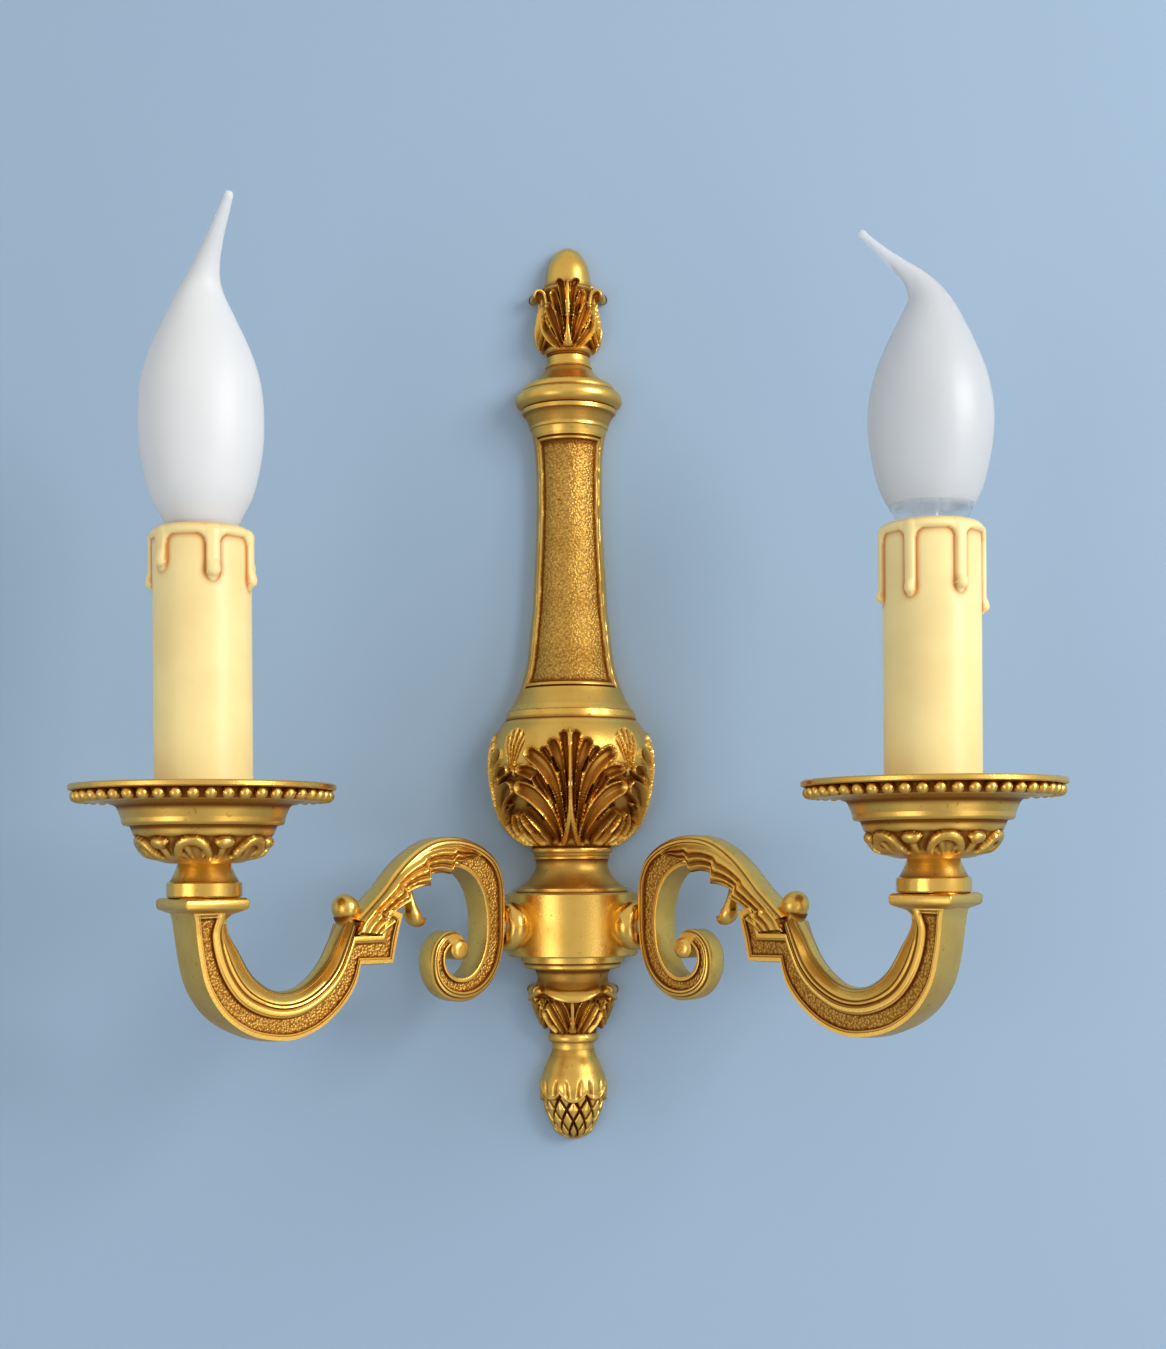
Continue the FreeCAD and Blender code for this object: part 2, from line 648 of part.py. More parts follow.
def band_outline():
    """The U-bend's side outline, from the collar round to the step by the leaf."""
    throat = s.collar_top - s.collar_plate
    reach = s.arm_reach
    return (Outline(reach + 7.0, throat)
            .curve((reach + 5.2, -1.5), (reach + 3.2, -11.0), (reach - 2.0, -21.4),
                   (reach - 11.5, -28.3), (reach - 23.5, -30.5), (reach - 35.5, -26.2),
                   (reach - 43.7, -18.0), (reach - 48.0, -9.2))
            .line(reach - 58.4, -9.2)
            .line(reach - 59.6, -3.4)
            .line(reach - 62.0, 5.6)
            .line(reach - 53.0, 7.0)
            .line(reach - 46.6, 3.6)
            .line(reach - 45.6, -1.6)
            .curve((reach - 43.4, -7.2), (reach - 38.5, -15.3), (reach - 29.0, -21.3),
                   (reach - 18.0, -21.1), (reach - 8.8, -13.6), (reach - 4.9, -3.0),
                   (reach - 4.9, throat))
            .close())


def ridge_outline():
    """The narrow moulding that follows the inside of the U-bend up to the ball."""
    reach = s.arm_reach
    return (Outline(reach - 4.0, 2.5)
            .curve((reach - 10.4, -4.0), (reach - 13.6, -9.9), (reach - 18.0, -14.3),
                   (reach - 23.8, -16.3), (reach - 29.2, -16.2), (reach - 34.2, -14.2),
                   (reach - 38.6, -10.2), (reach - 41.8, -5.2), (reach - 44.6, 0.6),
                   (reach - 47.0, 4.6))
            .line(reach - 50.0, 2.0)
            .curve((reach - 44.6, -8.2), (reach - 38.5, -17.0), (reach - 28.0, -23.0),
                   (reach - 17.0, -22.4), (reach - 7.0, -14.0), (reach - 4.0, 2.5)))


def scroll_outline():
    """The crest and the C-scroll: up from the ball, over, down past the drum and round."""
    back = crest_points(
        (79.2, 8.6), (75.0, 12.6), (71.0, 17.2), (66.6, 21.4), (61.6, 24.9),
        (56.0, 27.3), (50.0, 28.0), (43.6, 27.2), (37.6, 24.8), (32.8, 20.8),
        (30.2, 15.0), (29.6, 8.0), (29.7, 0.0), (30.4, -7.0), (33.0, -14.0),
        (37.0, -18.8), (42.0, -21.8), (47.0, -22.3), (52.2, -20.0), (55.6, -15.6),
        (56.6, -10.4), (55.2, -5.2), (51.6, -2.0), (47.4, -2.6))
    inside = crest_points(
        (51.0, -5.8), (53.4, -10.0), (52.0, -13.8), (48.6, -15.7), (44.8, -15.3),
        (41.4, -12.6), (38.9, -8.0), (37.9, -1.5), (38.2, 5.0), (39.8, 11.4),
        (43.4, 16.6), (48.0, 19.2), (52.4, 19.2), (57.0, 16.2), (60.2, 12.4))
    return (Outline(along(85.5), 1.0)
            .line(along(84.0), 4.6)
            .curve(*back)
            .line(along(47.6), -5.6)
            .curve(*inside)
            .line(along(64.0), 8.6)
            .line(along(70.4), 3.0)
            .line(along(74.0), -3.0)
            .close())


def bud_outline():
    """The small hooked bud under the leaf."""
    return (Outline(along(66.0), 9.0)
            .curve(*crest_points((65.6, 4.2), (63.2, 0.9), (59.4, 0.9), (57.6, 3.0)))
            .line(along(58.8), 4.4)
            .curve(*crest_points((60.6, 4.4), (61.2, 7.0), (60.6, 11.0)))
            .close())


def panel_outline():
    """The sunk panel along the side of the U-bend."""
    reach, throat = s.arm_reach, s.collar_top - s.collar_plate - 3.0
    return (Outline(reach + 4.6, throat)
            .curve((reach + 3.4, -2.6), (reach + 1.2, -11.2), (reach - 3.6, -20.4),
                   (reach - 12.2, -26.4), (reach - 23.4, -28.4), (reach - 34.4, -24.4),
                   (reach - 41.6, -17.0), (reach - 45.4, -9.6))
            .line(reach - 46.2, -5.6)
            .curve((reach - 40.0, -17.0), (reach - 29.6, -23.2), (reach - 17.4, -23.2),
                   (reach - 7.0, -14.8), (reach - 2.6, -3.4), (reach - 2.6, throat))
            .close())


def scroll_panel_outline():
    """The sunk panel along the side of the C-scroll."""
    return (Outline(along(40.0), 20.0)
            .curve(*crest_points((34.4, 14.4), (31.9, 7.0), (31.9, 0.0), (32.8, -7.4),
                                 (36.0, -14.4), (41.2, -19.2), (47.4, -20.0), (52.0, -17.0)))
            .line(along(51.0), -16.0)
            .curve(*crest_points((47.0, -17.6), (42.8, -16.4), (38.6, -12.4), (36.2, -6.6),
                                 (35.6, 0.0), (36.4, 7.4), (40.6, 15.6), (45.0, 20.6)))
            .close())


def rounded_path(points, radii):
    """Straight runs joined by tangent arcs, as a list of edges, and the arcs' radii."""
    edges, here = [], Vector(points[0][0], 0, points[0][1])
    corners = [Vector(x, 0, z) for x, z in points]
    for number in range(1, len(corners) - 1):
        before, corner, after = corners[number - 1:number + 2]
        back, ahead = (before - corner).normalize(), (after - corner).normalize()
        half = back.getAngle(ahead) / 2
        reach = radii[number - 1] / math.tan(half)
        start, end = corner + back * reach, corner + ahead * reach
        middle = (back + ahead).normalize()
        centre = corner + middle * (radii[number - 1] / math.sin(half))
        edges.append(Part.LineSegment(here, start).toShape())
        edges.append(Part.Arc(start, centre - middle * radii[number - 1], end).toShape())
        here = end
    edges.append(Part.LineSegment(here, corners[-1]).toShape())
    return Part.Wire(edges)


def lead_route(start_level, end_reach):
    """The lead's way: down the candle's axis, round the U, over the crest, to the drum."""
    reach = s.arm_reach
    points = [(reach, start_level), (reach, -8.0), (reach - 10.0, -24.0), (reach - 26.0, -26.0),
              (reach - 44.0, -11.0), (reach - 52.0, 2.0),
              *crest_points((60.0, 24.0), (42.0, 23.0), (33.6, 12.0), (33.6, 0.0)),
              (end_reach, 0.0)]
    return rounded_path(points, (12.0, 10.0, 14.0, 12.0, 14.0, 10.0, 8.0, 8.0, s.lead_bend))


def tube_along(route, radius):
    """A round solid swept along a flat route that starts straight down."""
    start = route.OrderedVertexes[0].Point
    circle = Part.Wire(Part.makeCircle(radius, start, Vector(0, 0, 1)))
    return route.makePipeShell([circle], True, False)


def arm(side):
    """The S-shaped casting with its scroll, leafed crest, ball and square collar."""
    body = new_body(side + "_arm_casting")
    plate(body, scroll_outline(), "Sizes.scroll_width")
    plate(body, band_outline(), "Sizes.arm_width")
    plate(body, ridge_outline(), "Sizes.ridge_width")
    plate(body, bud_outline(), "Sizes.bud_width")
    throat = s.collar_top - s.collar_plate
    square = s.collar_side / 2
    foot_half = s.arm_width / 2
    flare = body.newObject("PartDesign::AdditiveLoft", side + "_flare")
    lower = rectangle(s.arm_reach - 4.9, -foot_half, s.arm_reach + 7.0, foot_half)
    upper = rectangle(s.arm_reach - square, -square, s.arm_reach + square, square)
    flare.Profile = sketch_on(body, "XY_Plane", lower, throat - s.collar_flare)
    flare.Sections = [sketch_on(body, "XY_Plane", upper, throat)]
    plate(body, upper, "Sizes.collar_plate", role="XY_Plane", lift=throat, symmetric=False)
    primitive(body, "AdditiveSphere", (s.arm_reach - s.ball_inset, 0, s.ball_level),
              Radius="Sizes.ball_radius")
    primitive(body, "AdditiveCylinder", (along(47.3), -s.eye_width / 2, -5.9), TOWARDS_Y,
              Radius="Sizes.eye_radius", Height="Sizes.eye_width")
    primitive(body, "AdditiveCylinder", (s.boss_end, 0, 0), TOWARDS_X,
              Radius="Sizes.arm_nipple_radius + 1.3", Height="Sizes.arm_nipple_grip")
    for outline, width in ((panel_outline, s.arm_width),
                           (scroll_panel_outline, s.scroll_width)):
        for face in (-1, 1):
            pocket(body, outline(), "Sizes.recess_depth", lift=face * width / 2,
                   reverse=face < 0)
    primitive(body, "SubtractiveCylinder",
              (s.arm_reach, 0, s.collar_top - s.nipple_depth),
              Radius="Sizes.nipple_radius + Sizes.thread_play", Height="Sizes.nipple_depth")
    primitive(body, "SubtractiveCylinder", (s.boss_end - 1, 0, 0), TOWARDS_X,
              Radius="Sizes.arm_nipple_radius + Sizes.thread_play",
              Height="Sizes.arm_nipple_grip + 1")
    place_on_arm(body, side)
    channel = doc.addObject("Part::Feature", side + "_channel")
    channel.Shape = tube_along(lead_route(s.collar_top, s.boss_end), s.channel_radius)
    channel.Placement = FreeCAD.Placement(Vector(), arm_direction(side))
    cored = doc.addObject("Part::Cut", side + "_arm")
    cored.Label = side + "_arm"
    cored.Base = body
    cored.Tool = channel
    return cored


def lead(side):
    """The lamp's twin lead in one sheath, from the lampholder to the terminal block."""
    piece = doc.addObject("Part::Feature", side + "_lead")
    piece.Label = side + "_lead"
    edge = (s.block_width / 2) / math.cos(math.radians(s.arm_angle))
    piece.Shape = tube_along(lead_route(HOLDER_BASE - 0.1, edge + s.lead_radius),
                             s.lead_radius)
    piece.Placement = FreeCAD.Placement(Vector(), arm_direction(side))
    return piece


def arm_boss(side):
    """The turned boss between the drum and the scroll."""
    body = new_body(side + "_arm_boss")
    bore = s.arm_nipple_radius + s.thread_play
    rim = s.boss_end - s.boss_rim
    turned(body, (
        Outline(s.boss_seat, bore)
        .line(s.boss_seat, s.boss_foot_radius)
        .curve(((s.boss_seat * 2 + rim) / 3, s.boss_radius * 0.92), (rim, s.boss_radius))
        .line(s.boss_end, s.boss_radius - 0.6)
        .line(s.boss_end, bore)
        .close()), axis="H_Axis")
    place_on_arm(body, side)
    return body


def tube(label, radius, bore, length, centre, turn=None):
    body = new_body(label)
    primitive(body, "AdditiveCylinder", centre, turn, Radius=radius, Height=length)
    primitive(body, "SubtractiveCylinder", centre, turn, Radius=bore, Height=length)
    return body


def arm_nipple(side):
    """The hollow threaded tube that clamps the arm and carries the lead through."""
    start = s.arm_nut_seat - s.arm_nut_height - s.nipple_stand / 3
    end = s.boss_end + s.arm_nipple_grip - s.nipple_stand
    body = tube(side + "_arm_nipple", "Sizes.arm_nipple_radius", "Sizes.arm_nipple_bore",
                end - start, (start, 0, 0), TOWARDS_X)
    place_on_arm(body, side)
    return body


def nut(label, flats, bore, height, centre, turn=None):
    """A hexagon nut, its flats a named distance apart."""
    body = new_body(label)
    hexagon = primitive(body, "AdditivePrism", centre, turn, Height=height)
    hexagon.Polygon = 6
    hexagon.setExpression("Circumradius", flats + " / (2 * cos(30 deg))")
    primitive(body, "SubtractiveCylinder", centre, turn, Radius=bore, Height=height)
    return body


def arm_nut(side):
    start = s.arm_nut_seat - s.arm_nut_height
    body = nut(side + "_arm_nut", "Sizes.arm_nut_flats",
               "Sizes.arm_nipple_radius + Sizes.thread_play", "Sizes.arm_nut_height",
               (start, 0, 0), TOWARDS_X)
    place_on_arm(body, side)
    return body


# ---------------------------------------------------------------- one candle

NIPPLE_HOLE = "Sizes.nipple_radius + Sizes.thread_play"


def neck_spacer(side):
    """The turned cone that stands on the arm's collar."""
    body = new_body(side + "_neck_spacer")
    base = s.collar_top
    bore = s.nipple_radius + s.thread_play
    turned(body, (
        Outline(bore, base)
        .line(s.spacer_radius - 0.4, base)
        .line(s.spacer_radius, base + 0.4)
        .line(s.spacer_radius, base + s.spacer_band - 0.6)
        .line(s.spacer_radius - 0.8, base + s.spacer_band)
        .line(s.spacer_top_radius, CUP_BASE)
        .line(bore, CUP_BASE)
        .close()))
    place_on_candle(body, side)
    return body


def leaf_cup(side):
    """The cup under the pan, hollow, with a stepped rim."""
    body = new_body(side + "_leaf_cup")
    base, top = CUP_BASE, PAN_BASE
    step = top - s.cup_rim_height
    bore = s.nipple_radius + s.thread_play
    inner = s.cup_belly_radius - s.cup_wall
    turned(body, (
        Outline(bore, base)
        .line(s.cup_foot_radius, base)
        .curve((s.cup_belly_radius * 0.74, base + 2.4), (s.cup_belly_radius * 0.91, base + 5.6),
               (s.cup_belly_radius, step))
        .line(s.cup_rim_radius - 0.8, step)
        .line(s.cup_rim_radius, step + 0.8)
        .line(s.cup_rim_radius, top)
        .line(inner + 1.0, top)
        .curve((inner * 0.9, base + s.cup_wall + 3.6), (inner * 0.62, base + s.cup_wall + 0.6),
               (bore + 1.0, base + s.cup_wall))
        .line(bore, base + s.cup_wall)
        .close()))
    place_on_candle(body, side)
    return body


def drip_pan(side):
    """The pan: a dished middle, a flat brim with a rounded lip, and a row of beads."""
    body = new_body(side + "_drip_pan")
    base, floor, top = PAN_BASE, PAN_FLOOR, PAN_BASE + s.pan_height
    bore = s.nipple_radius + s.thread_play
    under = top - s.pan_lip
    dish, wall = s.pan_dish_radius, s.pan_wall
    turned(body, (
        Outline(bore, base)
        .line(s.cup_rim_radius, base)
        .curve((dish - 0.6, base + 3.0), (dish, under - 1.2))
        .line(dish + 1.2, under)
        .line(s.pan_radius - 0.9, under)
        .arc((s.pan_radius, top - s.pan_lip / 2), (s.pan_radius - 0.9, top))
        .line(s.pan_radius - 2.6, top - 0.5)
        .line(dish - wall + 1.6, top - 1.4)
        .curve((dish - wall, under - 0.6), (s.cup_rim_radius - wall, floor + 1.4),
               (s.cup_rim_radius - wall - 1.6, floor))
        .line(bore, floor)
        .close()))
    bead = primitive(body, "AdditiveSphere",
                     (s.bead_circle, 0, under - s.bead_radius + s.bead_sink),
                     Radius="Sizes.bead_radius")
    row = body.newObject("PartDesign::PolarPattern", side + "_bead_row")
    row.Originals = [bead]
    row.Axis = (next(axis for axis in body.Origin.OriginFeatures if axis.Role == "Z_Axis"),
                [""])
    row.Angle = 360
    row.Occurrences = int(s.bead_count)
    body.Tip = row
    place_on_candle(body, side)
    return body


def lamp_nipple(side):
    body = tube(side + "_lamp_nipple", "Sizes.nipple_radius", "Sizes.nipple_bore",
                PAN_FLOOR + s.nipple_rise - (s.collar_top - s.nipple_depth),
                (0, 0, s.collar_top - s.nipple_depth))
    place_on_candle(body, side)
    return body


def lock_nut(side):
    body = nut(side + "_lock_nut", "Sizes.lock_nut_flats", NIPPLE_HOLE,
               "Sizes.lock_nut_height", (0, 0, PAN_FLOOR))
    place_on_candle(body, side)
    return body


def holder_bracket(side):
    """The steel stirrup that lifts the lampholder to the top of the sleeve."""
    body = new_body(side + "_holder_bracket")
    half = s.bracket_leg_width / 2
    span, leg = s.bracket_span, s.bracket_leg
    primitive(body, "AdditiveBox", (-span - leg, -half, BRACKET_BASE),
              Length="2 * (Sizes.bracket_span + Sizes.bracket_leg)",
              Width="Sizes.bracket_leg_width", Height="Sizes.bracket_base")
    primitive(body, "AdditiveCylinder", (0, 0, BRACKET_BASE),
              Radius="Sizes.bracket_base_radius", Height="Sizes.bracket_base")
    for x in (-span - leg, span):
        primitive(body, "AdditiveBox", (x, -half, BRACKET_BASE),
                  Length="Sizes.bracket_leg", Width="Sizes.bracket_leg_width",
                  Height="Sizes.bracket_height")
    primitive(body, "SubtractiveCylinder", (0, 0, BRACKET_BASE), Radius=NIPPLE_HOLE,
              Height="Sizes.bracket_base")
    place_on_candle(body, side)
    return body


def lampholder(side):
    """The moulded lampholder: its foot stands between the bracket's legs."""
    body = new_body(side + "_lampholder")
    half = s.bracket_leg_width / 2
    primitive(body, "AdditiveCylinder", (0, 0, BRACKET_TOP),
              Radius="Sizes.holder_radius",
              Height="Sizes.holder_height - Sizes.holder_foot")
    primitive(body, "AdditiveBox", (-s.bracket_span, -half, HOLDER_BASE),
              Length="2 * Sizes.bracket_span", Width="Sizes.bracket_leg_width",
              Height="Sizes.holder_foot")
    primitive(body, "AdditiveCylinder", (0, 0, HOLDER_BASE),
              Radius="Sizes.bracket_base_radius", Height="Sizes.holder_foot")
    primitive(body, "SubtractiveCylinder", (0, 0, HOLDER_FLOOR),
              Radius="Sizes.shell_radius + Sizes.thread_play",
              Height="Sizes.holder_height - Sizes.holder_floor")
    place_on_candle(body, side)
    return body


def lampholder_shell(side):
    body = tube(side + "_lampholder_shell", "Sizes.shell_radius", "Sizes.shell_bore",
                "Sizes.shell_height", (0, 0, HOLDER_FLOOR))
    place_on_candle(body, side)
    return body


def holder_contact(side):
    body = new_body(side + "_holder_contact")
    primitive(body, "AdditiveCylinder", (0, 0, HOLDER_FLOOR),
              Radius="Sizes.contact_radius", Height="Sizes.contact_height")
    primitive(body, "AdditiveBox", (0, -1.5, HOLDER_FLOOR), Length=5.5, Width=3.0, Height=0.5)
    place_on_candle(body, side)
    return body


DRIPS = {
    # bearing round the candle in degrees, and how far the drip hangs, as moulded
    "left": ((0, 16), (38, 9), (72, 13), (112, 15), (150, 10), (186, 17), (222, 11),
             (260, 9), (298, 17), (330, 8)),
    "right": ((0, 24), (38, 12), (70, 22), (106, 11), (142, 24), (184, 13), (220, 22),
              (258, 20), (292, 12), (326, 18)),
}


def candle_sleeve(side):
    """The candle tube, its shoulder rounded in to the bulb, with moulded drips."""
    body = new_body(side + "_candle_sleeve")
    top = SLEEVE_TOP
    radius, bore = s.sleeve_radius, s.sleeve_bore
    turned(body, (
        Outline(bore, PAN_FLOOR)
        .line(radius, PAN_FLOOR)
        .line(radius, top - s.sleeve_shoulder * 3)
        .curve((radius + 0.8, top - s.sleeve_shoulder * 1.8), (radius + 0.6, top - 1.4),
               (radius - 0.8, top))
        .line(bore, top)
        .close()))
    drip = "Sizes.%s_drip_radius" % side
    for bearing, length in DRIPS[side]:
        turn = Rotation(Vector(0, 0, 1), bearing)
        low = turn.multVec(Vector(radius + s.drip_stand, 0, top - length))
        primitive(body, "AdditiveCylinder", tuple(low), Radius=drip + " * 0.9",
                  Height=length - s.sleeve_shoulder)
        primitive(body, "AdditiveSphere", tuple(low), Radius=drip)
    place_on_candle(body, side)
    return body


# ---------------------------------------------------------------- one lamp

def bulb_contact(side):
    """The lamp's insulator and centre contact."""
    body = new_body(side + "_bulb_contact")
    primitive(body, "AdditiveCylinder", (0, 0, LAMP_BASE),
              Radius="Sizes.lamp_tip_radius", Height="Sizes.lamp_tip_height + 0.2")
    primitive(body, "AdditiveCylinder", (0, 0, LAMP_BASE + s.lamp_tip_height),
              Radius="Sizes.insulator_radius", Height="Sizes.insulator_height")
    place_on_candle(body, side)
    return body


def bulb_cap(side):
    """The screw cap: a thin shell, flared where the glass is cemented in."""
    body = new_body(side + "_bulb_cap")
    radius, wall = s.cap_radius, s.cap_wall
    flare = s.cap_flare_radius
    floor = CAP_BASE + wall
    turned(body, (
        Outline(0, CAP_BASE)
        .line(radius - 1.6, CAP_BASE)
        .line(radius, CAP_BASE + 1.4)
        .line(radius, CAP_TOP - s.cap_flare * 3)
        .line(flare, CAP_TOP - s.cap_flare * 2)
        .line(flare, CAP_TOP)
        .line(s.bulb_neck_radius, CAP_TOP)
        .line(s.bulb_neck_radius, CAP_TOP - s.cap_flare * 2)
        .line(radius - wall, CAP_TOP - s.cap_flare * 2)
        .line(radius - wall, CAP_BASE + 1.6)
        .line(radius - 2.0, floor)
        .line(0, floor)
        .close()))
    place_on_candle(body, side)
    return body


def bulb_sections(inset):
    """Circles up the bulb: straight to the shoulder, then bent over to the drawn-out tip."""
    base, radius = CAP_TOP - s.cap_flare * 2, s.bulb_radius
    shares = ((0.0, s.bulb_neck_radius), (0.05, s.bulb_neck_radius), (0.13, radius * 0.58),
              (0.24, radius * 0.78), (0.40, radius * 0.94), (0.57, radius),
              (0.72, radius * 0.93), (0.86, radius * 0.72), (1.0, radius * 0.44))
    circles = []
    for share, size in shares:
        level = base + inset + share * (s.bulb_height - inset)
        circles.append(Part.Wire(Part.makeCircle(size - inset, Vector(0, 0, level))))
    top = base + s.bulb_height
    tip_shares = (0.3, 0.55, 0.8, 1.0)
    for share in tip_shares:
        if inset and share == 1.0:
            break
        rise = s.bulb_tip_height * (1.25 * share - 0.25 * share ** 2)
        lean = s.bulb_bend * share ** 1.9
        slope = math.atan2(s.bulb_bend * 1.9 * share ** 0.9,
                           s.bulb_tip_height * (1.25 - 0.5 * share))
        size = radius * 0.44 * (1 - share) ** 1.15 + s.bulb_tip_radius * share
        axis = Vector(math.sin(slope), 0, math.cos(slope))
        circles.append(Part.Wire(Part.makeCircle(max(size - inset, 0.4),
                                                 Vector(lean, 0, top + rise), axis)))
    return circles


def bulb_glass(side):
    """The frosted envelope, a thin shell with a bent, drawn-out tip."""
    piece = doc.addObject("Part::Feature", side + "_bulb_glass")
    piece.Label = side + "_bulb_glass"
    outer = Part.makeLoft(bulb_sections(0.0), True, False)
    inner = Part.makeLoft(bulb_sections(s.bulb_wall), True, False)
    piece.Shape = outer.cut(inner)
    place_lamp(piece, side)
    return piece


def place_lamp(piece, side):
    """Stand a lamp's piece on the candle's axis, turned as it was screwed home."""
    turn = s.left_bulb_turn if side == "left" else s.right_bulb_turn
    centre = arm_direction(side).multVec(Vector(s.arm_reach, 0, 0))
    piece.Placement = FreeCAD.Placement(centre, Rotation(Vector(0, 0, 1), turn))


def stem_base():
    return CAP_TOP - s.cap_flare * 2 + s.bulb_wall


def bulb_stem(side):
    """The glass stem inside the bulb, with its two support wires."""
    body = new_body(side + "_bulb_stem")
    base = stem_base()
    turned(body, (
        Outline(0, base)
        .line(s.bulb_neck_radius - s.bulb_wall - 0.4, base)
        .line(s.stem_radius, base + 3.0)
        .line(s.stem_radius, base + s.stem_height * 0.8)
        .line(s.stem_radius - 1.0, base + s.stem_height)
        .line(0, base + s.stem_height)
        .close()))
    for x in (-s.wire_spread, s.wire_spread):
        primitive(body, "AdditiveCylinder", (x, 0, base + s.stem_height - 2),
                  Radius="Sizes.wire_radius", Height="Sizes.wire_height + 2")
    place_lamp(body, side)
    return body


def bulb_filament(side):
    """The filament, arched between the tops of the support wires."""
    piece = doc.addObject("Part::Feature", side + "_bulb_filament")
    piece.Label = side + "_bulb_filament"
    low = stem_base() + s.stem_height + s.wire_height
    high = low + s.filament_rise
    left, right = Vector(-s.wire_spread, 0, high), Vector(s.wire_spread, 0, high)
    start = Vector(-s.wire_spread, 0, low)
    arch = Part.Wire([
        Part.LineSegment(start, left).toShape(),
        Part.Arc(left, Vector(0, 0, high + s.wire_spread), right).toShape(),
        Part.LineSegment(right, Vector(s.wire_spread, 0, low)).toShape()])
    circle = Part.Wire(Part.makeCircle(s.wire_radius, start, Vector(0, 0, 1)))
    piece.Shape = arch.makePipeShell([circle], True, False)
    place_lamp(piece, side)
    return piece


SIDES = ("left", "right")


def build():
    pieces = [top_finial(), column_collar(), column_shaft(), vase(), hub(), pendant_cup(),
              pine_finial(), hanger_plate(), hanger_screws(), terminal_block(),
              terminal_screws(), earth_screw()] + column_fixings()
    for side in SIDES:
        pieces += [arm(side), arm_boss(side), arm_nipple(side), arm_nut(side), lead(side),
                   neck_spacer(side), leaf_cup(side), drip_pan(side), lamp_nipple(side),
                   lock_nut(side), holder_bracket(side), lampholder(side),
                   lampholder_shell(side), holder_contact(side), candle_sleeve(side),
                   bulb_contact(side), bulb_cap(side), bulb_glass(side), bulb_stem(side),
                   bulb_filament(side)]
    for piece in pieces:
        piece.setExpression(".Placement.Base.z", KEYHOLE_DROP)
    return pieces


def check(pieces):
    """Stop if any feature failed, or a piece is empty or not a sound solid."""
    for item in doc.Objects:
        if "Invalid" in item.State or "Error" in item.State:
            raise RuntimeError("%s failed: %s" % (item.Name, item.State))
    for piece in pieces:
        shape = piece.Shape
        if shape.isNull() or not shape.isValid() or shape.Volume <= 0:
            raise RuntimeError("%s has no sound solid" % piece.Label)


def main():
    pieces = build()
    doc.recompute()
    check(pieces)
    os.makedirs("parts", exist_ok=True)
    for piece in pieces:
        piece.Shape.exportStep(os.path.join("parts", piece.Label + ".step"))
        print("%-24s solids %d volume %.1f" % (piece.Label, len(piece.Shape.Solids),
                                               piece.Shape.Volume))


main()
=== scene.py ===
"""Looks of a double arm wall sconce: cast column, scrolled arms, pans, candle tubes and lamps.

Everything stands in the CAD model's frame: metres, +Z up, the wall at y = 0, the light on its
-Y side and the origin at the keyhole. Sizes in the classes are millimetres, and levels on the
column and on the candles count from the middle of the drum that carries the arms.
"""

import json
import logging
import math
from contextlib import contextmanager
from dataclasses import dataclass
from enum import Enum
from typing import Callable, Iterator, Sequence

import bpy
import numpy as np
from mathutils import Matrix, Vector


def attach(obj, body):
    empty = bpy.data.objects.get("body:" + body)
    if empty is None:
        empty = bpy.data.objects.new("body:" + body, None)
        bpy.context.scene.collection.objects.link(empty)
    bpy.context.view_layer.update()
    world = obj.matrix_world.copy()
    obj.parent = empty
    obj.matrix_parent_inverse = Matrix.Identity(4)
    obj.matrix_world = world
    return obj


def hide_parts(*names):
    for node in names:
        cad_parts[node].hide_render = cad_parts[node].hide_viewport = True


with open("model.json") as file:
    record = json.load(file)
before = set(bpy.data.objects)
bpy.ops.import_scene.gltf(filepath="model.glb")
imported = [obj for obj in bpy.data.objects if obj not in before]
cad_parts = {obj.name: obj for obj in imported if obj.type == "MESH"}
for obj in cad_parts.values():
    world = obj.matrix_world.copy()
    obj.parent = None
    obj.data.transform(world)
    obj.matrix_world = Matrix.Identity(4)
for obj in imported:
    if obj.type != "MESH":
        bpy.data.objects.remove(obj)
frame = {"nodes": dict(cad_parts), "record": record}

MM = 0.001
DRUM_LEVEL = -49.0
ARM_TURN = math.radians(38.6)
ARM_REACH = 132.0
BODY = "wall_light"
LOG = logging.getLogger("wall_sconce")

Grid = np.ndarray
Piece = bpy.types.Object
Socket = bpy.types.NodeSocket
Point = tuple[float, float]
Triple = tuple[float, float, float]
Relief = Callable[[Grid, Grid], Grid]


class Side(Enum):
    """The two arms, as seen from the front."""

    LEFT = "left"
    RIGHT = "right"

    @property
    def turn(self) -> float:
        """The turn about Z that takes +X out along this arm."""
        return -ARM_TURN if self is Side.RIGHT else math.pi + ARM_TURN


class Sweep(Enum):
    """How far a turned piece goes round its axis."""

    HALF = 180.0
    FULL = 360.0


# ---- the bench


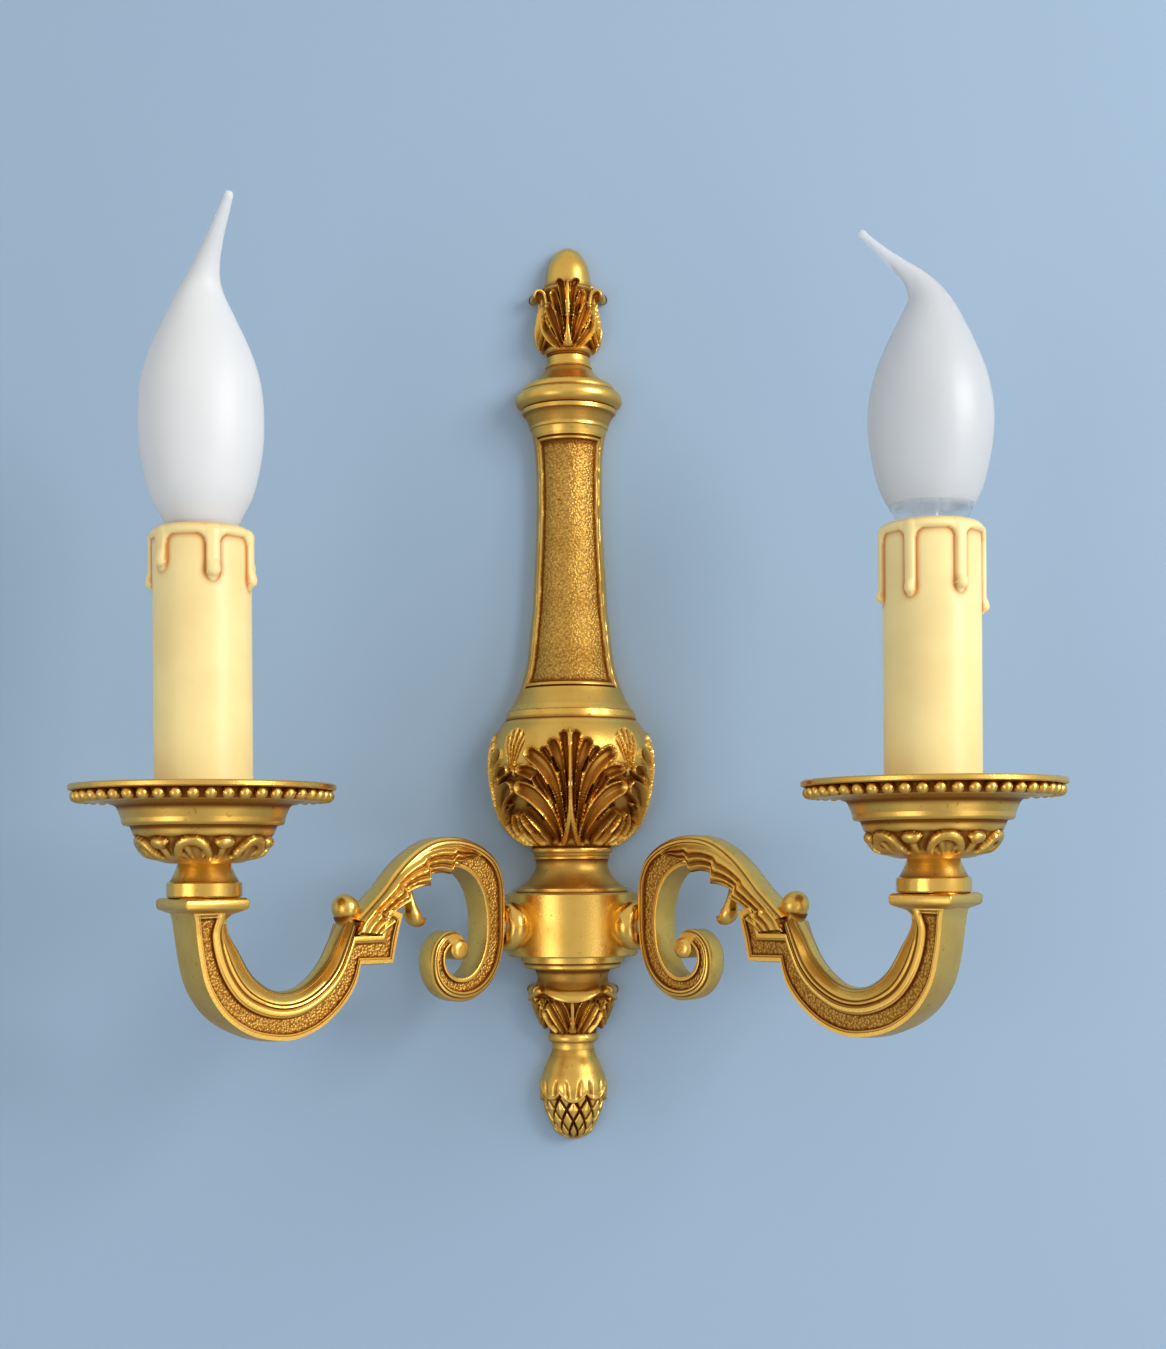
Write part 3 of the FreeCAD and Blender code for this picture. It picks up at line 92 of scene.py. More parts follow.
class Bench:
    """The modelling tools that the pieces share."""

    @staticmethod
    def clear() -> None:
        """Leave edit mode and deselect everything."""
        if bpy.context.mode != "OBJECT":
            bpy.ops.object.mode_set(mode="OBJECT")
        bpy.ops.object.select_all(action="DESELECT")

    @staticmethod
    def pick(piece: Piece) -> None:
        """Make one object the only one selected, and the active one.

        Args:
            piece: the object.
        """
        Bench.clear()
        piece.select_set(True)
        bpy.context.view_layer.objects.active = piece

    @staticmethod
    def named(name: str) -> Piece:
        """Name the object that was just added.

        Args:
            name: the piece's name.

        Returns:
            The active object.
        """
        piece = bpy.context.object
        piece.name = name
        piece.data.name = name
        return piece

    @staticmethod
    def skin(name: str, points: Grid, **marks: Grid) -> Piece:
        """Add a flat grid and lay its points on a surface.

        Args:
            name: the new object's name.
            points: rows x columns x 3 places, in millimetres from the drum's middle.
            marks: rows x columns values, each kept as a point attribute.

        Returns:
            The new mesh object, open along its edges.
        """
        rows, columns = points.shape[:2]
        Bench.clear()
        bpy.ops.mesh.primitive_grid_add(x_subdivisions=columns - 1, y_subdivisions=rows - 1)
        piece = Bench.named(name)
        places = (points + np.array([0.0, 0.0, DRUM_LEVEL])) * MM
        piece.data.vertices.foreach_set("co", places.astype(np.float32).ravel())
        for mark, values in marks.items():
            layer = piece.data.attributes.new(mark, "FLOAT", "POINT")
            layer.data.foreach_set("value", values.astype(np.float32).ravel())
        piece.data.update()
        return piece

    @staticmethod
    @contextmanager
    def editing() -> Iterator[None]:
        """Edit the active object's whole mesh, then turn its faces outwards and leave it.

        Returns:
            Nothing, while the mesh is edited.
        """
        bpy.ops.object.mode_set(mode="EDIT")
        bpy.ops.mesh.select_all(action="SELECT")
        yield
        bpy.ops.mesh.select_all(action="SELECT")
        bpy.ops.mesh.normals_make_consistent(inside=False)
        bpy.ops.mesh.select_mode(type="VERT")
        bpy.ops.object.mode_set(mode="OBJECT")

    @staticmethod
    def pick_rims(wires: bool) -> None:
        """Select the open edges of the mesh that is being edited, and its wires if asked.

        Args:
            wires: whether edges without a face count too.
        """
        bpy.ops.mesh.select_all(action="DESELECT")
        bpy.ops.mesh.select_mode(type="EDGE")
        bpy.ops.mesh.select_non_manifold(extend=False, use_wire=wires, use_boundary=True,
                                         use_multi_face=False, use_non_contiguous=False,
                                         use_verts=False)

    @staticmethod
    def close(piece: Piece, degrees: float) -> None:
        """Merge doubled points, fill the open rims and shade smooth but for sharper edges.

        Args:
            piece: the mesh object.
            degrees: the angle from which an edge stays sharp.
        """
        Bench.pick(piece)
        with Bench.editing():
            bpy.ops.mesh.remove_doubles(threshold=2e-6)
            Bench.pick_rims(wires=True)
            bpy.ops.mesh.edge_face_add()
        Bench.smooth(piece, degrees)

    @staticmethod
    def smooth(piece: Piece, degrees: float) -> None:
        """Shade smooth, but for edges sharper than an angle."""
        Bench.pick(piece)
        bpy.ops.object.shade_smooth_by_angle(angle=math.radians(degrees))

    @staticmethod
    def place(piece: Piece, matrix: Matrix) -> None:
        """Move a finished mesh to its place, and leave its object at the origin.

        Args:
            piece: the mesh object.
            matrix: the move, laid into its points.
        """
        piece.data.transform(matrix)
        piece.matrix_world = Matrix.Identity(4)
        piece.data.update()

    @staticmethod
    def shift(across: float, out: float, up: float) -> Matrix:
        """Give the move from the frame's origin to a place, in mm from the drum's middle."""
        return Matrix.Translation(Vector((across, out, up + DRUM_LEVEL)) * MM)

    @staticmethod
    def tip(piece: Piece, axis: str, across: float = 0.0, up: float = 0.0) -> None:
        """Turn a piece by a quarter about a level axis through the drum, and move it.

        Args:
            piece: the mesh object.
            axis: X or Y.
            across: how far it moves along X.
            up: how far it rises.
        """
        down = Vector((0, 0, DRUM_LEVEL * MM))
        Bench.place(piece, Matrix.Translation(Vector((across, 0, up)) * MM + down)
                    @ Matrix.Rotation(math.radians(90), 4, axis) @ Matrix.Translation(-down))

    @staticmethod
    def cut(piece: Piece, cutter: Piece) -> None:
        """Take one closed mesh out of another and remove the cutter.

        Args:
            piece: the mesh that stays.
            cutter: the mesh that is used up.
        """
        Bench.pick(piece)
        modifier = piece.modifiers.new("cut", "BOOLEAN")
        modifier.operation = "DIFFERENCE"
        modifier.solver = "MANIFOLD"
        modifier.object = cutter
        bpy.ops.object.modifier_apply(modifier=modifier.name)
        bpy.data.objects.remove(cutter)

    @staticmethod
    def join(name: str, pieces: Sequence[Piece]) -> Piece:
        """Make one object of several.

        Args:
            name: the joined object's name.
            pieces: the objects, which are used up.

        Returns:
            The joined object.
        """
        Bench.clear()
        for piece in pieces:
            piece.select_set(True)
        bpy.context.view_layer.objects.active = pieces[0]
        bpy.ops.object.join()
        return Bench.named(name)

    @staticmethod
    def cylinder(name: str, radius: float, start: Sequence[float],
                 end: Sequence[float], sides: int = 48) -> Piece:
        """Add a round bar between two places.

        Args:
            name: the new object's name.
            radius: in millimetres.
            start: the first end's centre, in millimetres from the drum's middle.
            end: the other end's centre.
            sides: how many faces go round it.

        Returns:
            The new mesh object, at the origin.
        """
        first, last = Vector(start), Vector(end)
        Bench.clear()
        bpy.ops.mesh.primitive_cylinder_add(vertices=sides, radius=radius * MM,
                                            depth=(last - first).length * MM)
        bar = Bench.named(name)
        middle = ((first + last) / 2 + Vector((0, 0, DRUM_LEVEL))) * MM
        turn = (last - first).to_track_quat("Z", "Y").to_matrix().to_4x4()
        Bench.place(bar, Matrix.Translation(middle) @ turn)
        return bar


class Outline:
    """A half-section or side outline, drawn run by run as on paper."""

    def __init__(self, across: float, up: float) -> None:
        """Start the outline at a point."""
        self.runs: list[Grid] = []
        self.here = np.array([across, up], float)

    def line(self, across: float, up: float) -> "Outline":
        """Draw a straight run.

        Args:
            across: the run's end, out from the axis.
            up: the run's end, upwards.

        Returns:
            The outline, so that runs can follow each other.
        """
        end = np.array([across, up], float)
        self.runs.append(np.array([self.here, end]))
        self.here = end
        return self

    def curve(self, *through: Point) -> "Outline":
        """Draw a smooth run through points.

        Args:
            through: the points, the last of which ends the run.

        Returns:
            The outline, so that runs can follow each other.
        """
        knots = np.array([self.here, *through], float)
        self.runs.append(smooth_line(knots, 24 * (len(knots) - 1) + 1))
        self.here = knots[-1]
        return self

    def points(self, pitch: float) -> Grid:
        """Give the whole outline as points that keep its corners.

        Args:
            pitch: the largest distance between two points.

        Returns:
            An array of points, n x 2.
        """
        drawn = [self.runs[0][:1]]
        for run in self.runs:
            steps = np.linalg.norm(np.diff(run, axis=0), axis=1)
            along = np.concatenate([[0.0], np.cumsum(steps)])
            count = max(1, int(math.ceil(along[-1] / pitch)))
            marks = np.linspace(0, along[-1], count + 1)[1:]
            drawn.append(np.column_stack([np.interp(marks, along, run[:, 0]),
                                          np.interp(marks, along, run[:, 1])]))
        return np.concatenate(drawn)


def smooth_line(knots: Grid, count: int) -> Grid:
    """Draw a smooth curve through points, with tangents set by their neighbours.

    Args:
        knots: the points, n x any number of columns.
        count: how many points to return.

    Returns:
        The curve's points, count x columns.
    """
    knots = np.asarray(knots, float)
    if len(knots) == 2:
        return knots[0] + (knots[1] - knots[0]) * np.linspace(0, 1, count)[:, None]
    gaps = np.sqrt(np.linalg.norm(np.diff(knots[:, :2], axis=0), axis=1)) + 1e-9
    at = np.concatenate([[0.0], np.cumsum(gaps)])
    slopes = np.diff(knots, axis=0) / gaps[:, None]
    tangents = np.empty_like(knots)
    weight = (gaps[:-1] / (gaps[:-1] + gaps[1:]))[:, None]
    tangents[1:-1] = slopes[:-1] * (1 - weight) + slopes[1:] * weight
    tangents[0] = 1.5 * slopes[0] - 0.5 * tangents[1]
    tangents[-1] = 1.5 * slopes[-1] - 0.5 * tangents[-2]
    wanted = np.linspace(0, at[-1], count)
    run = np.clip(np.searchsorted(at, wanted, side="right") - 1, 0, len(gaps) - 1)
    share = ((wanted - at[run]) / gaps[run])[:, None]
    gap = gaps[run][:, None]
    return ((2 * share ** 3 - 3 * share ** 2 + 1) * knots[run]
            + (share ** 3 - 2 * share ** 2 + share) * gap * tangents[run]
            + (-2 * share ** 3 + 3 * share ** 2) * knots[run + 1]
            + (share ** 3 - share ** 2) * gap * tangents[run + 1])


def direction(line: Grid) -> Grid:
    """Give a flat line's direction at each of its points, as unit vectors."""
    along = np.gradient(line[:, :2], axis=0)
    return along / (np.linalg.norm(along, axis=1)[:, None] + 1e-9)


def ramp(value: Grid, low: float, high: float) -> Grid:
    """Rise smoothly from 0 where the value is low to 1 where it is high."""
    share = np.clip((value - low) / (high - low), 0, 1)
    return share * share * (3 - 2 * share)


def blurred(values: Grid, reach: int, wraps: bool = False) -> Grid:
    """Average each value of a grid with its neighbours, three times over.

    Args:
        values: a grid of numbers.
        reach: how many neighbours count on each side.
        wraps: whether the last column meets the first.

    Returns:
        The averaged grid.
    """
    out = values
    for _ in range(3):
        for axis in (0, 1):
            mode = "wrap" if wraps and axis == 1 else "edge"
            pads = [(0, 0), (0, 0)]
            pads[axis] = (reach + 1, reach)
            total = np.cumsum(np.pad(out, pads, mode=mode), axis=axis)
            width = 2 * reach + 1
            ahead = np.take(total, range(width, total.shape[axis]), axis=axis)
            behind = np.take(total, range(0, total.shape[axis] - width), axis=axis)
            out = (ahead - behind) / width
    return out


# ---- carving


@dataclass(frozen=True)
class Lobe:
    """One scooped lobe of a leaf, as places (across, up, half width) along its spine, in mm."""

    spine: tuple[Triple, ...]

    def reach(self, across: Grid, up: Grid) -> Grid:
        """Measure how far points lie from the lobe's spine, in its own widths.

        Args:
            across: the points' places across the leaf.
            up: the points' places up the leaf.

        Returns:
            0 on the spine, 1 at the lobe's rim and more outside it.
        """
        nearest = np.full(across.shape, 9.0)
        for place, level, width in smooth_line(np.array(self.spine, float), 30):
            nearest = np.minimum(nearest, np.hypot(across - place, up - level) / width)
        return nearest

    def mirrored(self) -> "Lobe":
        """Give the same lobe on the leaf's other side."""
        return Lobe(tuple((-place, level, width) for place, level, width in self.spine))


@dataclass(frozen=True)
class Carving:
    """How a leaf is cut: the heights of its level, rims and scoops."""

    level: float = -0.3
    rim: float = 0.6
    scoop: float = 1.2

    def lobe(self, height: Grid, lobe: Lobe, across: Grid,
             up: Grid) -> Grid:
        """Lay one scooped lobe over what is carved so far.

        Args:
            height: the relief so far.
            lobe: the lobe to lay over it.
            across: the points' places across the leaf.
            up: the points' places up the leaf.

        Returns:
            The relief with the lobe in it.
        """
        apart = lobe.reach(across, up)
        cut = (self.level + self.rim * np.exp(-((apart - 0.84) / 0.16) ** 2)
               - self.scoop * (1 - ramp(apart, 0.25, 0.82)))
        inside = 1 - ramp(apart, 0.95, 1.10)
        return height * (1 - inside) + cut * inside


def facing_leaf(lobes: Sequence[Lobe], carving: Carving, across: Grid,
                up: Grid, height: Grid) -> Grid:
    """Carve a leaf that is the same on both sides of its rib.

    Args:
        lobes: the lobes of its right half, from the back to the front.
        carving: how deep it is cut.
        across: the points' places across the leaf.
        up: the points' places up the leaf.
        height: the relief so far.

    Returns:
        The relief with the leaf in it.
    """
    for lobe in lobes:
        height = carving.lobe(height, lobe, across, up)
        height = carving.lobe(height, lobe.mirrored(), across, up)
    return height


def shell_fan(across: Grid, up: Grid, height: Grid, foot: float, top: float,
              spread: float, ribs: int) -> Grid:
    """Carve a fan of ribs that opens upwards between two leaves.

    Args:
        across: the points' places across the fan.
        up: the points' places up the fan.
        height: the relief so far.
        foot: the level of the fan's narrow end.
        top: the level of its round top.
        spread: half its width at the top.
        ribs: how many ribs it has.

    Returns:
        The relief with the fan in it.
    """
    share = np.clip((up - foot) / (top - foot), 0.0, 1.4)
    half = 0.5 + spread * share ** 1.3
    place = across / half
    inside = (1 - ramp(np.abs(place), 0.92, 1.06)) * ramp(up, foot - 0.3, foot + 0.3)
    arch = top - 0.75 * spread * place ** 2 + 0.35 * np.cos(place * math.pi * ribs)
    inside = inside * (1 - ramp(up, arch - 0.3, arch + 0.3))
    wave = np.cos(place * math.pi * ribs)
    cut = -0.75 + 0.95 * ramp(wave, -0.1, 0.95) * ramp(share, 0.0, 0.25) + 0.5 * np.clip(
        0.4 - share, 0, 1)
    return height * (1 - inside) + cut * inside


# ---- turning


@dataclass
class Turning:
    """A turned piece, whose relief is carved into it as the skin is laid."""

    name: str
    outline: Outline
    sweep: Sweep = Sweep.HALF
    pitch: float = 0.5
    columns: int = 96
    relief: Relief | None = None
    stipple: Relief | None = None
    patina_depth: float = 0.45
    sunk_depth: float = 3.0
    sharp: float = 38.0

    def make(self) -> Piece:
        """Turn the outline about the axis, carve it, close it and mark its hollows.

        Returns:
            The new mesh object.
        """
        line = self.outline.points(self.pitch)
        if self.relief is None:
            return self.spun(line)
        half = math.radians(self.sweep.value / 2)
        bearing = np.linspace(-half, half, self.columns + 1)[None, :]
        radius, level = line[:, :1], line[:, 1:]
        height = self.relief(bearing * radius, level + 0 * bearing) * ramp(radius, 0.0, 0.6)
        along = direction(line)
        out, rise = along[:, 1:], -along[:, :1]
        carved = radius + out * height
        points = np.stack([carved * np.sin(bearing), -carved * np.cos(bearing),
                           level + rise * height + 0 * bearing], axis=2)
        patina = self.hollows(line, height)
        stipple = np.zeros_like(height)
        if self.stipple is not None:
            stipple = self.stipple(bearing * radius, level + 0 * bearing)
        piece = Bench.skin(self.name, points, patina=patina, stipple=stipple)
        Bench.close(piece, self.sharp)
        return piece

    def spun(self, line: Grid) -> Piece:
        """Spin a plain outline about the axis, as on a lathe.

        Args:
            line: the outline's points.

        Returns:
            The new mesh object.
        """
        whole = self.sweep is Sweep.FULL
        if np.allclose(line[0], line[-1]):
            line = line[:-1]
        Bench.clear()
        bpy.ops.mesh.primitive_circle_add(vertices=len(line), radius=MM,
                                          fill_type="NOTHING" if whole else "NGON")
        piece = Bench.named(self.name)
        half = math.radians(self.sweep.value / 2)
        for vertex, (out, up) in zip(piece.data.vertices, line):
            vertex.co = Vector((-out * math.sin(half), -out * math.cos(half),
                                up + DRUM_LEVEL)) * MM
        with Bench.editing():
            bpy.ops.mesh.spin(steps=self.columns, angle=-2 * half, center=(0, 0, 0),
                              axis=(0, 0, 1))
        Bench.close(piece, self.sharp)
        places = np.empty(len(piece.data.vertices) * 3, np.float32)
        piece.data.vertices.foreach_get("co", places)
        places = places.reshape(-1, 3) / MM
        out, up = np.hypot(places[:, 0], places[:, 1]), places[:, 2] - DRUM_LEVEL
        nearest = ((out[:, None] - line[None, :, 0]) ** 2
                   + (up[:, None] - line[None, :, 1]) ** 2).argmin(axis=1)
        groove = self.hollows(line, np.zeros((len(line), 1)))[:, 0]
        layer = piece.data.attributes.new("patina", "FLOAT", "POINT")
        layer.data.foreach_set("value", groove[nearest].astype(np.float32))
        return piece

    def hollows(self, line: Grid, height: Grid) -> Grid:
        """Mark where old polish and tarnish stay on brass, and painted shade on plastic: in
        grooves and between carved forms.

        Args:
            line: the outline's points.
            height: the relief laid over the piece.

        Returns:
            0 on open surfaces to 1 deep in a hollow.
        """
        reach = max(1, int(round(0.7 / self.pitch)))
        padded = np.pad(line, ((3 * reach, 3 * reach), (0, 0)), mode="edge")
        mean = np.stack([np.convolve(padded[:, column], np.ones(6 * reach + 1) / (6 * reach + 1),
                                     mode="valid") for column in (0, 1)], axis=1)
        along = direction(line)
        groove = ((mean - line) * np.stack([along[:, 1], -along[:, 0]], axis=1)).sum(axis=1)
        from_line = np.clip(groove / 0.3, 0, 1)[:, None]
        carved = blurred(height, max(1, int(round(0.8 / self.pitch))), self.sweep is Sweep.FULL)
        from_relief = np.clip((carved - height) / self.patina_depth, 0, 1)
        from_depth = np.clip(-height / self.sunk_depth, 0, 0.6)
        return np.clip(from_line + from_relief + from_depth, 0, 1)


def curled_leaf(name: str, spine: Sequence[Point], widths: Sequence[float], thickness: float,
                bearing: float, ribs: float) -> Piece:
    """Make a leaf that stands off a turned piece and curls over.

    Args:
        name: the new object's name.
        spine: the leaf's side view, as (radius, level) points from its foot to its tip.
        widths: half the leaf's width at the spine's points.
        thickness: half its thickness in the middle.
        bearing: where it stands round the axis, in degrees, 0 at the front.
        ribs: how many grooves run along it on each side of its middle.

    Returns:
        The new closed mesh object.
    """
    stations, around = 26, 36
    knots = np.column_stack([np.array(spine, float), np.array(widths, float)])
    path = smooth_line(knots, stations)
    along = direction(path)
    turn = np.linspace(0, 2 * math.pi, around)[None, :]
    across, lift = np.cos(turn), np.sin(turn)
    share = np.linspace(0, 1, stations)[:, None]
    end = np.sqrt(np.clip(1 - ((share - 0.5) * 2) ** 8, 0.0, 1))
    width = path[:, 2:] * np.sqrt(np.clip(1 - np.clip(share - 0.86, 0, 1) ** 2 / 0.0197, 0.02, 1))
    grooves = 0.22 * np.cos(across * math.pi * ribs * 2) * (np.abs(across) < 0.9)
    rise = thickness * end * (lift * (0.75 + 0.25 * np.abs(across))
                              + grooves * np.sign(lift) * 0.6)
    bow = -0.18 * width * across ** 2
    radius = path[:, :1] + along[:, 1:] * (rise + bow)
    level = path[:, 1:2] - along[:, :1] * (rise + bow)
    side = width * across
    angle = math.radians(bearing)
    points = np.stack([radius * math.sin(angle) + side * math.cos(angle),
                       side * math.sin(angle) - radius * math.cos(angle), level], axis=2)
    points[:, :, 1] = np.minimum(points[:, :, 1], -0.05)
    hollow = np.clip(-grooves / 0.22, 0, 1) * 0.8 * end + 0.9 * (1 - ramp(share, 0.0, 0.22))
    piece = Bench.skin(name, points, patina=np.clip(hollow, 0, 1), stipple=0 * hollow)
    Bench.close(piece, 60)
    return piece


# ---- finishes


class Nodes:
    """A short hand for building one material's nodes."""

    def __init__(self, name: str) -> None:
        """Start an empty material that ends in one Principled shader.

        Args:
            name: the material's name.
        """
        self.material = bpy.data.materials.new(name)
        self.material.use_nodes = True
        self.tree = self.material.node_tree
        self.tree.nodes.clear()
        self.shader, self.output = self.add("BsdfPrincipled"), self.add("OutputMaterial")
        self.coords = self.add("TexCoord")
        self.place = self.coords.outputs["Object"]
        self.put(self.shader.outputs[0], self.output.inputs[0])

    def add(self, kind: str) -> bpy.types.Node:
        """Add a shader node."""
        return self.tree.nodes.new(f"ShaderNode{kind}")

    def put(self, value: Socket | float | tuple[float, ...], target: Socket) -> None:
        """Join a socket to a node's input, or set a plain value there.

        Args:
            value: the socket or value.
            target: the input.
        """
        if isinstance(value, Socket):
            self.tree.links.new(value, target)
        else:
            target.default_value = value

    def set(self, **values: Socket | float | tuple[float, ...]) -> None:
        """Join or set the shader's inputs, with _ for a space in an input's name."""
        for name, value in values.items():
            self.put(value, self.shader.inputs[name.replace("_", " ")])

    def rise(self, vector: Socket) -> Socket:
        """Give how far a vector goes up.

        Args:
            vector: the vector's socket.

        Returns:
            Its Z socket.
        """
        node = self.add("SeparateXYZ")
        self.put(vector, node.inputs[0])
        return node.outputs["Z"]

    def attribute(self, name: str) -> Socket:
        """Give a point attribute's value.

        Args:
            name: the attribute's name.

        Returns:
            Its value socket.
        """
        node = self.add("Attribute")
        node.attribute_name = name
        return node.outputs["Fac"]

    def noise(self, scale: float, detail: float = 3.0,
              stretch: Triple = (1, 1, 1)) -> Socket:
        """Add noise on the piece's own coordinates.

        Args:
            scale: how many features there are in a metre.
            detail: how many finer layers are added.
            stretch: how the pattern is scaled along X, Y and Z.

        Returns:
            The noise's value socket.
        """
        mapping = self.add("Mapping")
        self.put(stretch, mapping.inputs["Scale"])
        self.put(self.place, mapping.inputs["Vector"])
        node = self.add("TexNoise")
        self.put(scale, node.inputs["Scale"])
        self.put(detail, node.inputs["Detail"])
        self.put(mapping.outputs[0], node.inputs["Vector"])
        return node.outputs["Fac"]

    def cells(self, scale: float) -> Socket:
        """Add hammered dimples on the piece's own coordinates.

        Args:
            scale: how many there are in a metre.

        Returns:
            The socket of the distance from each.
        """
        node = self.add("TexVoronoi")
        node.feature = "SMOOTH_F1"
        self.put(scale, node.inputs["Scale"])
        self.put(0.35, node.inputs["Smoothness"])
        self.put(self.place, node.inputs["Vector"])
        return node.outputs["Distance"]

    def math(self, kind: str, first: Socket | float,
             second: Socket | float = 0.0) -> Socket:
        """Add a sum, product or other calculation.

        Args:
            kind: the Math node's operation.
            first: a socket or a plain number.
            second: a socket or a plain number.

        Returns:
            The result's socket, kept from 0 to 1.
        """
        node = self.add("Math")
        node.operation = kind
        node.use_clamp = True
        self.put(first, node.inputs[0])
        self.put(second, node.inputs[1])
        return node.outputs[0]

    def spread(self, value: Socket, low: float, high: float, start: float = 0.0,
               end: float = 1.0) -> Socket:
        """Map a range of values onto another, and hold it there.

        Args:
            value: the socket to map.
            low: the value that becomes start.
            high: the value that becomes end.
            start: the lowest result.
            end: the highest result.

        Returns:
            The mapped value's socket.
        """
        node = self.add("MapRange")
        for name, number in (("From Min", low), ("From Max", high), ("To Min", start),
                             ("To Max", end)):
            self.put(number, node.inputs[name])
        self.put(value, node.inputs["Value"])
        return node.outputs[0]

    def blend(self, share: Socket,
              first: Socket | Triple,
              second: Socket | Triple) -> Socket:
        """Mix two colours.

        Args:
            share: how much of the second shows.
            first: a colour or a socket.
            second: a colour or a socket.

        Returns:
            The mixed colour's socket.
        """
        node = self.add("Mix")
        node.data_type = "RGBA"
        self.put(share, node.inputs["Factor"])
        for slot, colour in ((6, first), (7, second)):
            self.put((*colour, 1.0) if isinstance(colour, tuple) else colour, node.inputs[slot])
        return node.outputs[2]

    def bump(self, height: Socket, distance: float, strength: float = 1.0,
             under: Socket | None = None) -> Socket:
        """Add relief too fine to model.

        Args:
            height: the relief's height from 0 to 1.
            distance: how deep it is, in metres.
            strength: how much of it shows.
            under: the normal of a coarser relief that it lies on.

        Returns:
            The normal's socket.
        """
        node = self.add("Bump")
        for name, value in (("Distance", distance), ("Strength", strength), ("Height", height)):
            self.put(value, node.inputs[name])
        if under is not None:
            self.put(under, node.inputs["Normal"])
        return node.outputs[0]


@dataclass(frozen=True)
class BrassFinish:
    """Lacquered brass: warm gold on open surfaces, red-brown patina in the hollows, and painted
    shade on faces that look down.
    """

    name: str
    gold: Triple = (0.97, 0.60, 0.135)
    shade: Triple = (0.80, 0.45, 0.075)
    patina: Triple = (0.25, 0.082, 0.010)
    roughness: float = 0.27
    grain: float = 0.00007
    hammer: float = 0.00028
    specks: float = 0.3
    painted_underside_shade: float = 0.42

    def build(self) -> bpy.types.Material:
        """Build the material.

        Returns:
            The material, for a mesh with patina and stipple attributes or none.
        """
        nodes = Nodes(self.name)
        hollow, stipple = nodes.attribute("patina"), nodes.attribute("stipple")
        cloud = nodes.noise(90.0, 4.0)
        speck = nodes.spread(nodes.noise(620.0, 2.0), 0.66, 0.74)
        dimple = nodes.cells(1350.0)
        toned = nodes.blend(nodes.spread(cloud, 0.45, 0.85), self.gold, self.shade)
        floor = nodes.math("MULTIPLY", stipple, nodes.spread(dimple, 0.15, 0.7, 0.04, 0.42))
        # Painted shade: faces that look down are darkened towards the patina colour, on top of the
        # real patina in the hollows, the hammered floor and the specks.
        under = nodes.spread(nodes.rise(nodes.coords.outputs["Normal"]), 0.05, -0.65, 0.0,
                             self.painted_underside_shade)
        darkening = nodes.math("POWER", hollow, 0.85)
        for more in (floor, nodes.math("MULTIPLY", speck, self.specks), under):
            darkening = nodes.math("ADD", darkening, more)
        rough = nodes.math("ADD", nodes.spread(cloud, 0.3, 0.8, self.roughness - 0.04,
                                               self.roughness + 0.10),
                           nodes.math("MULTIPLY", darkening, 0.28))
        cast = nodes.bump(nodes.noise(1400.0, 3.0), self.grain, 0.6)
        hammered = nodes.math("MULTIPLY", dimple, stipple)
        nodes.set(Base_Color=nodes.blend(darkening, toned, self.patina), Metallic=1.0,
                  Roughness=rough, Normal=nodes.bump(hammered, self.hammer, 0.9, cast))
        return nodes.material


@dataclass(frozen=True)
class MouldedFinish:
    """Moulded plastic, its colour darkened with painted shade where the moulding is hollow, and
    faintly at random.
    """

    name: str
    colour: Triple
    shade: Triple
    roughness: float = 0.42
    waxy: float = 0.0

    def build(self) -> bpy.types.Material:
        """Build the material.

        Returns:
            The material.
        """
        nodes = Nodes(self.name)
        cloud = nodes.spread(nodes.noise(45.0, 3.0), 0.35, 0.75, 0.0, 0.22)
        # Painted shade: the patina mark darkens the plastic where its moulding is hollow, and the
        # cloud adds a faint random tone.
        share = nodes.math("ADD", nodes.attribute("patina"), cloud)
        nodes.set(Base_Color=nodes.blend(share, self.colour, self.shade),
                  Roughness=nodes.spread(nodes.noise(300.0, 2.0), 0.3, 0.7,
                                         self.roughness - 0.05, self.roughness + 0.06),
                  Normal=nodes.bump(nodes.noise(900.0, 2.0), 0.00003, 0.5))
        if self.waxy:
            nodes.set(Subsurface_Weight=self.waxy, Subsurface_Scale=0.004,
                      Subsurface_Radius=(1.0, 0.5, 0.25))
        return nodes.material


@dataclass(frozen=True)
class SteelFinish:
    """Plated or bright metal parts, finely streaked."""

    name: str
    colour: Triple
    roughness: float = 0.32

    def build(self) -> bpy.types.Material:
        """Build the material.

        Returns:
            The material.
        """
        nodes = Nodes(self.name)
        streak = nodes.noise(160.0, 3.0, (1.0, 1.0, 6.0))
        darker = tuple(part * 0.72 for part in self.colour)
        nodes.set(Base_Color=nodes.blend(nodes.spread(streak, 0.35, 0.75), self.colour, darker),
                  Metallic=1.0,
                  Roughness=nodes.spread(streak, 0.3, 0.7, self.roughness - 0.06,
                                         self.roughness + 0.12),
                  Normal=nodes.bump(nodes.noise(1200.0, 2.0), 0.00003, 0.4))
        return nodes.material


@dataclass(frozen=True)
class LampGlass:
    """A lamp's glass: frosted above a level, clear below it."""

    name: str
    frost_from: float
    roughness: float = 0.46
    veil: float = 0.50
    blur: float = 0.0012

    def build(self) -> bpy.types.Material:
        """Build the material.

        Returns:
            The material.
        """
        nodes = Nodes(self.name)
        level = (self.frost_from + DRUM_LEVEL) * MM
        frost = nodes.spread(nodes.rise(nodes.place), level - self.blur, level + self.blur)
        nodes.set(Base_Color=(1.0, 1.0, 1.0, 1.0), IOR=1.45,
                  Roughness=nodes.spread(frost, 0.0, 1.0, 0.03, self.roughness),
                  Transmission_Weight=nodes.spread(frost, 0.0, 1.0, 1.0, 1.0 - self.veil),
                  Normal=nodes.bump(nodes.noise(1500.0, 2.0), 0.00002, 0.3))
        return nodes.material


